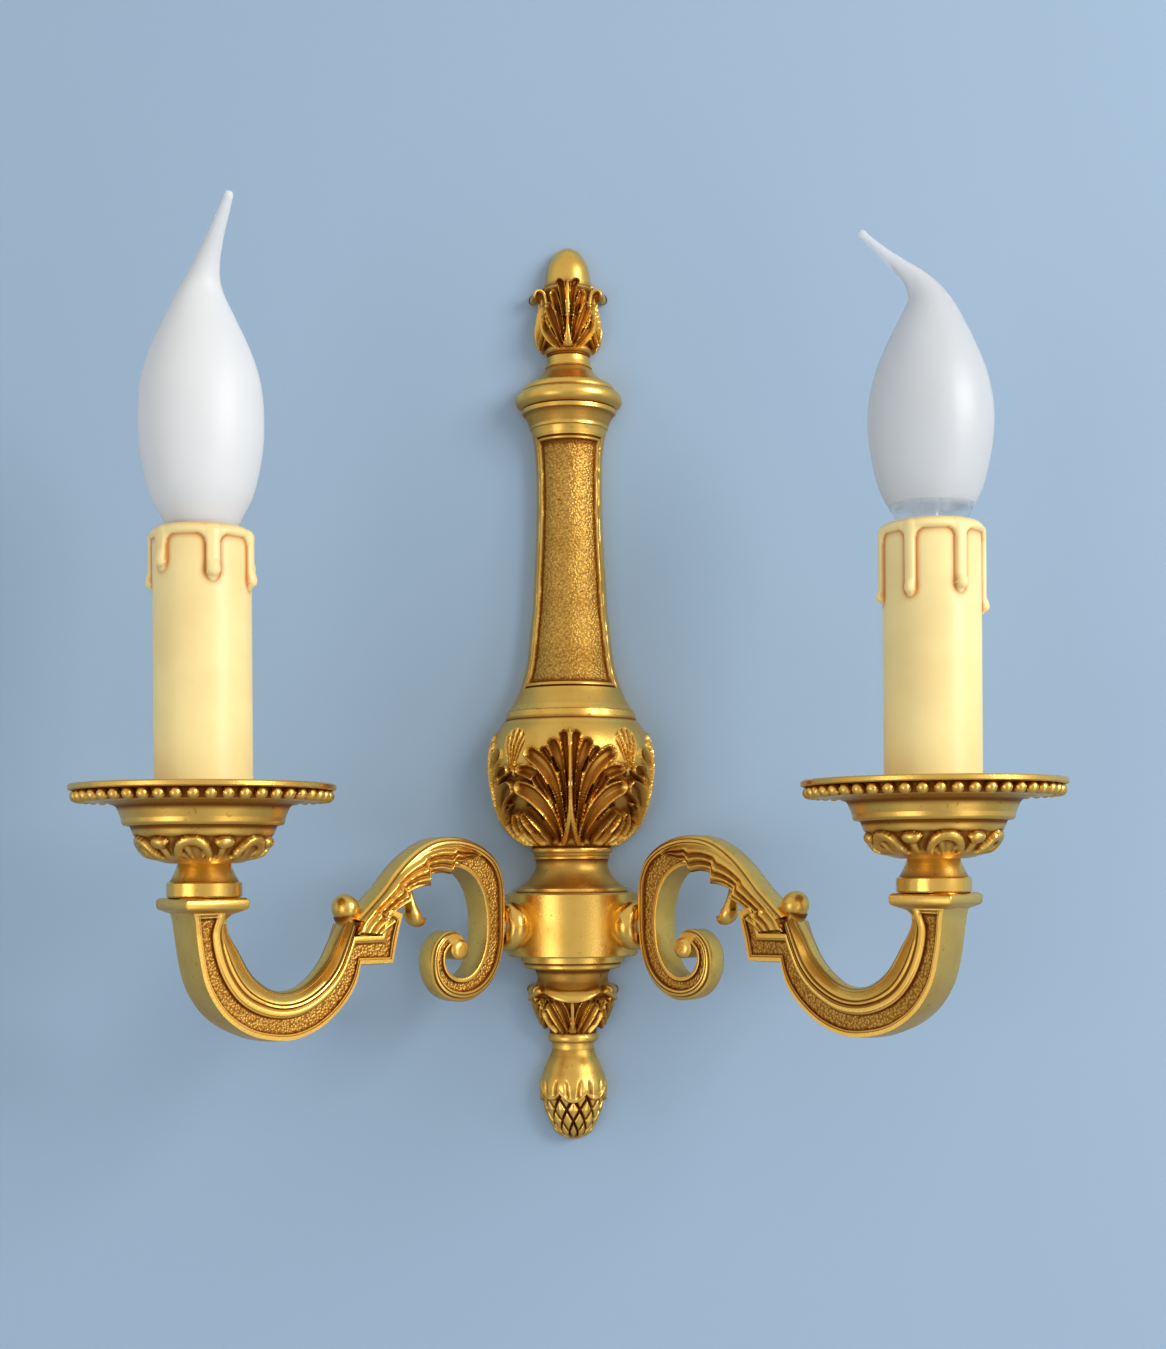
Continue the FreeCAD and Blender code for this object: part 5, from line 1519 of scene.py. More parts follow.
@dataclass
class Arm:
    """One S-shaped arm: U-bend, leafed crest, scroll, ball, bud and square collar."""

    side: Side
    finishes: Finishes
    eye_at: Point = (48.0, -6.6)
    ball_at: Point = (85.9, 6.9)
    ball_radius: float = 4.15
    ball_stretch: Triple = (0.96, 1.12, 1.04)
    ball_lean: float = 18.0
    collar_set: float = 0.6
    collar_foot: float = 3.1
    collar_bevel: float = 0.45
    step_half: float = 5.7
    boss_bore: float = 4.1
    boss_seat: float = 20.4
    boss_end: float = 29.4

    def build(self) -> None:
        """Make the arm, turn it to its side and dress it."""
        parts = [
            self.bend(), self.ridge(), self.scroll(), self.eye(), self.ball(), *self.leaf(),
            self.collar(), self.step(),
            curl("ball_tail", ((86.6, 5.0, 3.0), (85.2, 2.6, 2.6), (83.6, 1.2, 1.9),
                               (81.6, 0.6, 0.8)), 1.3),
            curl("bud", ((63.4, 12.0, 0.9), (63.0, 8.0, 1.6), (62.4, 4.8, 2.5), (61.2, 3.0, 2.4),
                         (59.4, 2.3, 1.6), (57.5, 3.1, 0.4)), 1.3),
            curl("leaf_curl", ((52.6, 18.4, 0.8), (50.6, 20.2, 1.5), (48.4, 19.6, 1.5),
                               (48.2, 17.8, 0.7)), 3.9)]
        arm = Bench.join(f"{self.side.value}_arm_cast", parts)
        for piece, finish, node in ((arm, "cast_brass", "arm"),
                                    (self.boss(), "turned_brass", "arm_boss")):
            Bench.place(piece, Matrix.Rotation(self.side.turn, 4, "Z"))
            self.finishes.fit(piece, finish, f"{self.side.value}_{node}")

    @staticmethod
    def from_axis(*points: Point) -> tuple[Point, ...]:
        """Place points that are counted outwards from the candle's axis."""
        return tuple((ARM_REACH + out, up) for out, up in points)

    def bend(self) -> Piece:
        """Make the U-bend, whose panel turns the corners of the step at its end.

        Returns:
            The closed mesh.
        """
        outer = Band.edge(
            self.from_axis((7.7, 7.7), (6.8, 4.6), (6.3, 0.5), (5.2, -7.0), (3.2, -14.6),
                           (-1.8, -22.5), (-9.4, -28.1), (-17.1, -30.4), (-25.0, -30.7),
                           (-33.0, -28.0), (-40.3, -22.6), (-45.0, -16.6), (-47.2, -9.9)),
            ((73.5, -9.9), (71.8, -2.4), (69.8, 4.8)))
        inner = Band.edge(
            self.from_axis((-3.6, 7.7), (-2.4, 4.6), (-1.4, 0.5), (-2.6, -6.4), (-5.2, -12.4),
                           (-9.4, -17.6), (-15.0, -20.8), (-21.6, -22.2), (-28.6, -21.2),
                           (-35.8, -17.0), (-40.6, -11.6), (-43.4, -5.6), (-45.0, -1.3)),
            ((77.2, -1.3), (76.0, 2.6), (74.2, 6.4)))
        return Band("bend", outer, inner, (7.7, 7.1, 7.0, 7.0, 7.0, 7.0, 7.0, 7.0, 7.0, 6.9, 6.7),
                    Moulding.BEND, 7.4, (0.026, 0.985)).make()

    def ridge(self) -> Piece:
        """Make the moulding that runs along the inside of the U-bend.

        Returns:
            The closed mesh.
        """
        low = self.from_axis(
            (-3.4, 7.8), (-2.2, 4.6), (-1.5, 0.5), (-2.8, -6.4), (-5.4, -12.3), (-9.6, -17.4),
            (-15.2, -20.5), (-21.6, -21.9), (-28.4, -20.9), (-35.6, -16.8), (-40.4, -11.4),
            (-43.2, -5.4), (-45.6, 1.6))
        high = self.from_axis(
            (-5.2, 7.8), (-5.6, 4.6), (-6.4, 1.0), (-9.7, -4.4), (-13.4, -10.6), (-16.0, -13.4),
            (-20.0, -16.0), (-24.6, -16.9), (-29.6, -15.8), (-34.4, -12.6), (-38.2, -8.4),
            (-41.4, -2.6), (-45.0, 3.6))
        return self.moulding("ridge", low, high)

    def moulding(self, name: str, outer: Sequence[Point],
                 inner: Sequence[Point]) -> Piece:
        """Make a stepped moulding between two edges.

        Args:
            name: the new object's name.
            outer: the edge that sits on the band.
            inner: the moulding's crest.

        Returns:
            The new closed mesh object.
        """
        count = 110
        low, high = (smooth_line(np.array(edge, float), count) for edge in (outer, inner))
        profile = (
            (-0.08, 6.7, 0.6), (0.04, 6.5, 1.0), (0.07, 6.2, 1.0), (0.13, 6.4, 0.1),
            (0.22, 6.3, 0.0), (0.26, 5.6, 0.9), (0.32, 5.3, 0.9), (0.37, 5.3, 0.1),
            (0.55, 4.7, 0.0), (0.72, 3.7, 0.05), (0.77, 3.5, 0.3), (0.80, 3.6, 0.0),
            (0.88, 3.1, 0.0), (0.90, 2.4, 0.7), (0.94, 2.1, 0.2), (1.0, 1.4, 0.0),
            (1.03, 0.0, 0.0))
        whole = list(profile) + [(up, -out, darkening) for up, out, darkening in profile[-2::-1]]
        whole.append(profile[0])
        rows = [np.column_stack([(low + (high - low) * up)[:, 0], np.full(count, -out),
                                 (low + (high - low) * up)[:, 1]]) for up, out, _ in whole]
        darkening = np.stack([np.full(count, darkening) for _, _, darkening in whole], axis=1)
        piece = Bench.skin(name, np.stack(rows, axis=1), patina=darkening, stipple=0 * darkening)
        Bench.close(piece, 40)
        return piece

    def scroll(self) -> Piece:
        """Make the crest and the C-scroll down to the volute.

        Returns:
            The closed mesh.
        """
        outer = Band.edge(
            ((84.6, 3.6), (79.2, 8.6), (75.0, 12.6), (71.0, 17.2), (66.6, 21.4), (61.6, 24.9),
             (56.0, 27.3), (50.0, 28.0), (43.6, 27.2), (37.6, 24.8), (32.8, 20.8), (30.2, 15.0),
             (29.6, 8.0), (29.7, 0.0), (30.4, -7.0), (33.0, -14.4), (37.2, -19.4), (42.0, -22.1),
             (47.2, -22.6), (52.8, -20.8), (56.4, -16.8), (57.6, -11.0), (56.4, -5.2),
             (52.4, -1.4), (48.2, -1.2), (45.4, -4.2)), count=280)
        inner = Band.edge(
            ((78.0, 0.6), (73.6, 4.4), (69.6, 8.2), (66.0, 11.6), (62.4, 14.6), (58.8, 16.8),
             (54.6, 18.4), (50.4, 18.9), (46.4, 18.0), (42.8, 15.6), (40.2, 12.0), (38.8, 8.0),
             (38.0, 3.2), (38.0, -1.8), (38.7, -6.8), (40.6, -11.2), (43.2, -14.2), (46.2, -15.4),
             (49.4, -15.0), (51.9, -13.2), (53.1, -10.6), (52.9, -7.6), (51.2, -5.4), (49.0, -4.6),
             (47.6, -4.7), (46.6, -5.6)), count=280)
        return Band("scroll", outer, inner, (6.4, 6.0, 5.6, 5.5, 5.4, 5.3, 5.2, 5.0, 4.9, 4.9),
                    Moulding.SCROLL, 8.0, (0.10, 0.93)).make()

    def eye(self) -> Piece:
        """Make the volute's round eye.

        Returns:
            The closed mesh.
        """
        outline = (
            Outline(0, -6.1).curve((2.2, -5.9), (3.2, -5.0)).line(3.2, 5.0)
            .curve((2.2, 5.9), (0, 6.1)))
        eye = Turning("eye", outline, Sweep.FULL, 0.5, 36).make()
        Bench.tip(eye, "X", *self.eye_at)
        return eye

    def ball(self) -> Piece:
        """Make the bean-shaped ball that ends the leaf.

        Returns:
            The closed mesh.
        """
        Bench.clear()
        bpy.ops.mesh.primitive_uv_sphere_add(segments=36, ring_count=20,
                                             radius=self.ball_radius * MM)
        ball = Bench.named("ball")
        with Bench.editing():
            bpy.ops.transform.resize(value=self.ball_stretch)
        lean = Matrix.Rotation(math.radians(self.ball_lean), 4, "Y")
        Bench.place(ball, Bench.shift(self.ball_at[0], 0, self.ball_at[1]) @ lean)
        Bench.smooth(ball, 80)
        return ball

    def leaf(self) -> list[Piece]:
        """Make the leaf that wraps the crest, its lower edge torn into lobes.

        Returns:
            One closed mesh for each face of the arm.
        """
        upper = smooth_line(
            np.array([(85.4, -0.8), (82.8, 3.2), (79.4, 6.8), (75.6, 10.6), (71.6, 15.0),
                     (67.2, 19.2), (62.0, 22.8), (56.4, 25.2), (50.4, 26.0), (44.6, 25.2),
                     (39.4, 22.8)]), 120)
        lower = smooth_line(
            np.array([(76.2, -1.6), (74.2, 1.8), (71.8, 4.8), (69.0, 7.9), (65.8, 10.9),
                     (62.0, 13.5), (58.4, 15.5), (54.6, 17.4), (50.6, 18.6), (46.8, 19.6),
                     (43.4, 20.8)]), 120)
        share = np.linspace(0, 1, 120)[:, None]
        deep = np.linspace(0, 1, 34)[None, :]
        part = (share * 4.6 + 0.25) % 1.0
        tear = np.clip(0.84 + 0.44 * part ** 1.3 * (1 - ramp(part, 0.86, 1.0))
                       - 0.6 * ramp(share, 0.84, 1.0), 0.1, 1.4)
        veins = np.cos((deep * 7.2 - share * 2.4 - 0.6 * part * deep) * math.pi)
        swell = np.sin(np.clip(deep, 0, 1) * math.pi) ** 0.5
        rise = (1.0 * swell + 0.62 * veins * swell * (0.4 + 0.6 * ramp(share, 0.02, 0.12))
                + 0.9 * swell * np.exp(-(share / 0.045) ** 2)) * ramp(share, 0.0, 0.02) * (
            1 - ramp(share, 0.93, 1.0))
        spot = upper[:, None, :] + (lower - upper)[:, None, :] * (deep * tear)[:, :, None]
        hollow = np.clip(-veins, 0, 1) * swell * 0.9 + 0.6 * (deep > 0.94)
        half = np.interp(share, (0, 0.5, 1), (6.2, 5.7, 5.3))
        leaves = []
        for sign in (-1, 1):
            front = np.stack([spot[:, :, 0], sign * (half + rise), spot[:, :, 1]], axis=2)
            back = np.stack([spot[:, :, 0], sign * (half - 1.2) + 0 * rise, spot[:, :, 1]], axis=2)
            ring = np.concatenate([front, back[:, ::-1], front[:, :1]], axis=1)
            darkening = np.concatenate([hollow, 0 * hollow, hollow[:, :1]], axis=1)
            leaf = Bench.skin("leaf", ring, patina=np.clip(darkening, 0, 1), stipple=0 * darkening)
            Bench.close(leaf, 50)
            leaves.append(leaf)
        return leaves

    def collar(self) -> Piece:
        """Make the square collar with its flare, by extruding a square upwards.

        Returns:
            The closed mesh.
        """
        Bench.clear()
        bpy.ops.mesh.primitive_plane_add(size=2 * MM)
        collar = Bench.named("collar")
        sizes = ((1.6, 5.0, 5.2), (1.4, 6.0, 6.6), (0.7, 7.6, 8.3), (0.4, 8.6, 9.0),
                 (0.4, 9.4, 9.5), (0.5, 9.7, 9.7), (1.7, 9.8, 9.8), (0.7, 9.5, 9.5),
                 (0.4, 8.9, 8.9))
        was = sizes[0][1:]
        with Bench.editing():
            bpy.ops.transform.resize(value=(*was, 1))
            for rise, *size in sizes:
                bpy.ops.mesh.extrude_region_move(
                    TRANSFORM_OT_translate={"value": (0, 0, rise * MM)})
                bpy.ops.transform.resize(value=(size[0] / was[0], size[1] / was[1], 1))
                was = size
        Bench.place(collar, Bench.shift(ARM_REACH + self.collar_set, 0, self.collar_foot))
        bevel = collar.modifiers.new("softened", "BEVEL")
        bevel.width = self.collar_bevel * MM
        bevel.segments = 3
        bevel.limit_method = "ANGLE"
        bevel.angle_limit = math.radians(30)
        Bench.pick(collar)
        bpy.ops.object.modifier_apply(modifier=bevel.name)
        Bench.smooth(collar, 50)
        return collar

    def step(self) -> Piece:
        """Make the core between the step and the leaf's foot, dark behind them.

        Returns:
            The closed mesh.
        """
        corners = ((84.6, -3.6), (76.0, -3.6), (73.4, 0.8), (69.8, 5.4), (80.0, 6.4), (84.0, 2.6))
        Bench.clear()
        bpy.ops.mesh.primitive_circle_add(vertices=len(corners), radius=MM, fill_type="NGON")
        block = Bench.named("step")
        for vertex, (across, up) in zip(block.data.vertices, corners):
            vertex.co = Vector((across, -self.step_half, up + DRUM_LEVEL)) * MM
        with Bench.editing():
            bpy.ops.mesh.extrude_region_move(
                TRANSFORM_OT_translate={"value": (0, 2 * self.step_half * MM, 0)})
        dark = block.data.attributes.new("patina", "FLOAT", "POINT")
        dark.data.foreach_set("value", np.full(len(block.data.vertices), 0.7, np.float32))
        Bench.smooth(block, 30)
        return block

    def boss(self) -> Piece:
        """Make the turned boss between the drum and the scroll.

        Returns:
            The closed mesh, in the arm's own plane.
        """
        bore, seat, end = self.boss_bore, self.boss_seat, self.boss_end
        outline = (
            Outline(bore, seat).line(6.2, seat)
            .curve((6.6, 21.4), (7.4, 22.8), (8.0, 24.8), (7.9, 26.8), (7.0, 28.4)).line(6.3, 28.9)
            .line(6.3, end).line(bore, end).line(bore, seat))
        boss = Turning("boss", outline, Sweep.FULL, 0.5, 64).make()
        boss.name = f"{self.side.value}_boss_turned"
        Bench.tip(boss, "Y")
        return boss


# ---- the candles


@dataclass(frozen=True)
class Drip:
    """One run of wax moulded on a candle tube."""

    bearing: float
    length: float
    half_width: float
    stand: float


DRIPS: dict[Side, tuple[Drip, ...]] = {
    Side.LEFT: (Drip(-88, 16.5, 1.9, 1.5), Drip(-40, 12.0, 2.1, 1.4), Drip(24, 15.0, 2.0, 1.6),
                Drip(82, 16.5, 1.9, 1.6), Drip(122, 12.0, 1.9, 1.4), Drip(158, 16.0, 1.8, 1.5),
                Drip(196, 11.0, 1.9, 1.4), Drip(232, 15.0, 1.9, 1.5)),
    Side.RIGHT: (Drip(-88, 22.0, 1.6, 1.4), Drip(-35, 21.0, 1.6, 1.5), Drip(24, 20.0, 1.7, 1.6),
                 Drip(84, 25.0, 1.6, 1.5), Drip(122, 13.0, 1.7, 1.3), Drip(156, 21.0, 1.6, 1.5),
                 Drip(192, 15.0, 1.7, 1.4), Drip(232, 19.0, 1.6, 1.4)),
}


@dataclass
class Candle:
    """One candle: the turned stack on the arm, the pan, the tube and the lamp."""

    side: Side
    finishes: Finishes
    stack_bore: float = 5.1
    stack_foot: float = 11.0
    cup_foot: float = 20.5
    pan_foot: float = 33.3
    pan_floor: float = 34.8
    tube_top: float = 114.8
    tube_radius: float = 13.8
    tube_bore: float = 12.15
    bead_circle: float = 35.0
    bead_level: float = 39.4
    bead_radius: float = 1.75
    beads: int = 48
    glass: float = 0.8

    @property
    def axis(self) -> Vector:
        """The candle's axis, in metres."""
        return Vector((math.cos(self.side.turn), math.sin(self.side.turn), 0)) * ARM_REACH * MM

    def build(self) -> None:
        """Make, place and dress every piece of the candle."""
        side = self.side.value
        for piece, finish, slot, node, body in (
                (self.spacer(), "turned_brass", "turned_brass", "neck_spacer", BODY),
                (self.cup(), "cast_brass", "cast_brass", "leaf_cup", BODY),
                (self.pan(), "cast_brass", "cast_brass", "drip_pan", BODY),
                (self.tube(), "ivory_plastic", "ivory_plastic", "candle_sleeve",
                 f"{side}_sleeve"),
                (self.lamp(), "frosted_glass" if self.side is Side.LEFT else "part_frosted_glass",
                 "frosted_glass", "bulb_glass", f"{side}_lamp")):
            Bench.place(piece, Matrix.Translation(self.axis))
            piece.name = f"{side}_{piece.name.split('.')[0]}"
            self.finishes.fit(piece, finish, f"{side}_{node}", body, slot)

    def spacer(self) -> Piece:
        """Make the turned cone that stands on the square collar.

        Returns:
            The closed mesh about its own axis.
        """
        bore, foot, top = self.stack_bore, self.stack_foot, self.cup_foot
        outline = (
            Outline(bore, foot).line(10.2, foot).line(10.6, 11.4).line(10.6, 14.9).line(10.2, 15.3)
            .line(9.7, 15.4).curve((8.9, 16.9), (8.0, 18.9), (7.4, top)).line(bore, top)
            .line(bore, foot))
        return Turning("cone_turned", outline, Sweep.FULL, 0.4, 72, sharp=28).make()

    def cup(self) -> Piece:
        """Make the cup under the pan, with its ring of folded leaves.

        Returns:
            The closed mesh about its own axis.
        """
        bore, foot, top = self.stack_bore, self.cup_foot, self.pan_foot
        outline = (
            Outline(bore, foot).line(9.2, foot)
            .curve((12.0, 21.1), (14.8, 22.5), (17.4, 25.0), (19.3, 28.0), (20.3, 30.6))
            .line(20.6, 31.1).line(22.2, 31.3).line(22.7, 31.9).line(22.9, top).line(19.2, top)
            .curve((16.4, 26.8), (11.3, 23.7), (6.1, 23.1)).line(bore, 23.1).line(bore, foot))

        def relief(around: Grid, level: Grid) -> Grid:
            """Carve six leaves that roll over like hoods, with a small roll between each two.

            Args:
                around: places round the axis.
                level: their levels.

            Returns:
                How far the skin stands out there.
            """
            radius = np.interp(level, (20.5, 22.5, 25, 28, 30.3), (9.2, 14.8, 17.4, 19.3, 20.3))
            height = -0.6 * ramp(level, 21.6, 22.6) * (1 - ramp(level, 27.4, 28.6)) + 0 * around
            for turn in range(6):
                angle = around / radius - math.radians(60.0 * turn - 150.0)
                across = ((angle + math.pi) % (2 * math.pi) - math.pi) * 17.5
                roll = np.hypot(across / 2.7, (level - 26.3) / 1.5)
                stem = (np.abs(across) < 1.3) & (level < 26.0)
                height = np.where(stem, 0.1 + 0.4 * np.cos(across * 2.2), height)
                height = np.where(roll < 1, 1.5 * np.sqrt(np.clip(1 - roll ** 2, 0, 1)) - 0.1,
                                  height)
            for turn in range(6):
                angle = around / radius - math.radians(60.0 * turn - 180.0)
                across = ((angle + math.pi) % (2 * math.pi) - math.pi) * 17.5
                hood = np.hypot((across - 0.4) / 6.0, (level - 20.8) / 7.2)
                fan = np.arctan2(level - 19.6, across - 0.8)
                inside = 0.35 + 0.35 * np.cos(fan * 13.0) - 2.3 * np.exp(
                    -((across - 1.6) / 0.85) ** 2) * (1 - ramp(level, 24.6, 26.0))
                lip = 1.35 * np.sqrt(np.clip(1 - ((hood - 0.86) / 0.19) ** 2, 0, 1)) - 0.1
                height = np.where(hood < 1.03, np.maximum(lip * (hood > 0.67), inside), height)
            return height * ramp(level, 21.0, 23.6) * (1 - ramp(level, 28.6, 29.2)) * (
                np.gradient(level[:, 0])[:, None] >= 0)

        return Turning("cup_carved", outline, Sweep.FULL, 0.36, 340, relief=relief,
                       patina_depth=0.7).make()

    def pan(self) -> Piece:
        """Make the beaded pan.

        Returns:
            The closed mesh about its own axis.
        """
        bore, foot, floor = self.stack_bore, self.pan_foot, self.pan_floor
        outline = (
            Outline(bore, foot).line(22.9, foot)
            .curve((23.4, 34.6), (24.2, 36.4), (25.4, 37.2), (27.6, 37.8)).line(33.0, 38.0)
            .line(33.6, 38.4).line(33.8, 40.6).line(35.2, 41.0).line(36.9, 41.1).line(37.3, 41.4)
            .line(37.3, 42.4).line(36.9, 42.8).line(34.9, 42.8).line(34.4, 42.4).line(27.2, 41.4)
            .line(26.2, 41.0).curve((24.4, 39.2), (22.6, 36.4), (20.8, floor)).line(bore, floor)
            .line(bore, foot))
        pan = Turning("pan_beaded", outline, Sweep.FULL, 0.5, 160, sharp=30).make()
        Bench.clear()
        bpy.ops.mesh.primitive_uv_sphere_add(segments=16, ring_count=10,
                                             radius=self.bead_radius * MM)
        bead = Bench.named("bead")
        Bench.smooth(bead, 80)
        behind = pan.data.attributes["patina"].data
        for vertex in pan.data.vertices:
            out = math.hypot(vertex.co.x, vertex.co.y) / MM
            if 33.2 < out < 36.4 and vertex.co.z / MM - DRUM_LEVEL < 41.2:
                behind[vertex.index].value = 1.0
        row = [pan]
        for number in range(self.beads):
            copy = bead.copy()
            copy.data = bead.data.copy()
            bpy.context.collection.objects.link(copy)
            angle = 2 * math.pi * number / self.beads
            Bench.place(copy, Bench.shift(self.bead_circle * math.cos(angle),
                                          self.bead_circle * math.sin(angle), self.bead_level))
            row.append(copy)
        bpy.data.objects.remove(bead)
        return Bench.join("pan_beaded", row)

    def tube(self) -> Piece:
        """Make the candle tube with the wax that runs down from its rim.

        Returns:
            The closed mesh about its own axis.
        """
        top, radius = self.tube_top, self.tube_radius
        bore, foot = self.tube_bore, self.pan_floor
        outline = (
            Outline(bore, foot).line(radius, foot).line(radius, top - 1.6)
            .curve((radius - 0.4, top - 0.5), (radius - 1.0, top)).line(bore, top)
            .line(bore, foot))

        def relief(around: Grid, level: Grid) -> Grid:
            """Let wax hang from the rim in runs with thick ends.

            Args:
                around: places round the axis.
                level: their levels.

            Returns:
                How far the skin stands out there.
            """
            angle = around / radius
            apart = (top - 2.9) - level + 0 * around
            bulge = 0 * around * level
            for drip in DRIPS[self.side]:
                turn = (angle - math.radians(drip.bearing) + math.pi) % (2 * math.pi) - math.pi
                across = np.abs(turn) * radius
                end = top - drip.length + drip.half_width
                run = np.hypot(across, np.clip(end - level, 0, None)) - drip.half_width
                share = np.clip(0.5 + 0.5 * (run - apart) / 3.4, 0, 1)
                apart = run + (apart - run) * share - 3.4 * share * (1 - share)
                blob = np.clip(1 - np.hypot(across, (level - end) * 0.62) / drip.half_width, 0, 1)
                bulge = np.maximum(bulge, 0.9 * np.sqrt(blob) * drip.stand)
                bulge = np.maximum(bulge, 0.45 * np.sqrt(np.clip(-run / drip.half_width, 0, 1)))
            inside = np.clip(-apart / 0.8, 0, 1)
            height = 0.95 * np.sqrt(1 - (1 - inside) ** 2) + bulge
            return height * (1 - 0.8 * ramp(level, top - 2.2, top)) * (
                np.gradient(level[:, 0])[:, None] > -0.5) * ramp(level, top - 30, top - 28)

        # Painted shade: on this tube the patina mark lays a brown shade along the foot of the wax
        # runs.
        return Turning("tube_waxed", outline, Sweep.FULL, 0.4, 230, relief=relief,
                       patina_depth=0.42, sharp=50).make()

    def lamp(self) -> Piece:
        """Make the lamp's glass: a candle shape whose drawn-out tip bends over.

        Returns:
            The closed shell about the candle's axis.
        """
        foot = ((105.0, 7.0), (109.0, 7.4), (113.0, 8.8), (118.6, 11.3), (121.4, 12.8),
                (124.3, 14.2), (129.9, 15.8), (138.4, 17.3), (147.0, 17.6))
        tips = {
            Side.LEFT: (
                (0.0, 155.4, 17.0, 0.0), (0.0, 161.0, 15.7, 0.0), (0.0, 166.7, 13.7, 1.0),
                (0.0, 172.3, 11.2, 2.0), (0.2, 178.0, 8.5, 5.0), (0.9, 182.6, 6.2, 14.0),
                (2.4, 186.2, 4.6, 26.0), (4.8, 189.8, 3.5, 35.0), (7.8, 193.4, 2.7, 40.0),
                (11.0, 197.0, 2.1, 42.0), (14.4, 200.6, 1.65, 42.0), (16.9, 203.4, 1.35, 40.0),
                (17.9, 204.6, 1.25, 38.0)),
            Side.RIGHT: (
                (0.0, 155.4, 16.2, 0.0), (0.0, 161.0, 14.4, 0.0), (0.0, 166.7, 11.9, 1.0),
                (0.1, 172.3, 9.2, 4.0), (0.5, 176.4, 7.1, 10.0), (1.4, 179.6, 5.3, 22.0),
                (3.0, 182.6, 3.9, 34.0), (5.4, 185.2, 2.9, 44.0), (8.6, 187.8, 2.2, 50.0),
                (12.0, 190.4, 1.7, 52.0), (15.4, 193.2, 1.35, 50.0), (18.2, 195.6, 1.15, 48.0),
                (19.2, 196.5, 1.3, 46.0))}
        rings = [(0.0, level, radius, 0.0) for level, radius in foot]
        line = smooth_line(np.array([*rings, *tips[self.side]], float), 90)
        turn = np.linspace(0, 2 * math.pi, 65)[None, :]
        lean = np.radians(line[:, 3:])

        def shell(inset: float) -> Grid:
            """Give the glass's outer surface, or one that lies inside it.

            Args:
                inset: how far inside.

            Returns:
                Its rings of points.
            """
            radius = np.maximum(line[:, 2:3] - inset, 0.3)
            across, ahead = radius * np.cos(turn), radius * np.sin(turn)
            return np.stack([line[:, :1] + across * np.cos(lean), ahead,
                             line[:, 1:2] - across * np.sin(lean)], axis=2)

        outer = shell(0.0)
        last, slope = line[-1], math.radians(line[-1, 3])
        caps = []
        for step in (0.5, 0.85, 1.0):
            size = last[2] * math.sqrt(1 - step ** 2) + 0.001
            centre = np.array([last[0] + last[2] * step * math.sin(slope),
                               last[1] + last[2] * step * math.cos(slope)])
            caps.append(np.stack([centre[0] + size * np.cos(turn[0]) * math.cos(slope),
                                  size * np.sin(turn[0]),
                                  centre[1] - size * np.cos(turn[0]) * math.sin(slope)], axis=1))
        inside = shell(self.glass)[::-1][line[::-1, 2] > 2.0]
        tip = inside[:1].mean(axis=1, keepdims=True) + 0 * inside[:1]
        glass = self.closed_shell(np.concatenate([outer, np.array(caps)]),
                                  np.concatenate([tip, inside]))
        turned = math.radians(-52.0 if self.side is Side.LEFT else 184.0)
        Bench.place(glass, Matrix.Rotation(turned, 4, "Z"))
        return glass

    @staticmethod
    def closed_shell(outer: Grid, inner: Grid) -> Piece:
        """Join an outer and an inner skin at their open foot.

        Args:
            outer: rings of points from the foot to the tip.
            inner: rings of points from the tip back to the foot.

        Returns:
            The closed mesh.
        """
        skins = [Bench.skin("lamp_skin", rings) for rings in (outer, inner)]
        glass = Bench.join("lamp_glass", skins)
        with Bench.editing():
            bpy.ops.mesh.remove_doubles(threshold=3e-6)
            Bench.pick_rims(wires=False)
            bpy.ops.mesh.bridge_edge_loops()
        Bench.smooth(glass, 70)
        return glass


# ---- inside


@dataclass
class Fittings:
    """The CAD pieces that stay as they are and only get their finishes."""

    finishes: Finishes

    def build(self) -> None:
        """Dress every CAD node by the record's material slot."""
        for entry in frame["record"]["subparts"]:
            node = frame["nodes"][entry["node"]]
            slot = entry["material_slot"]
            self.finishes.dress(node, slot)
            LOG.info("%s: %s", entry["node"], slot)


# ---- the studio


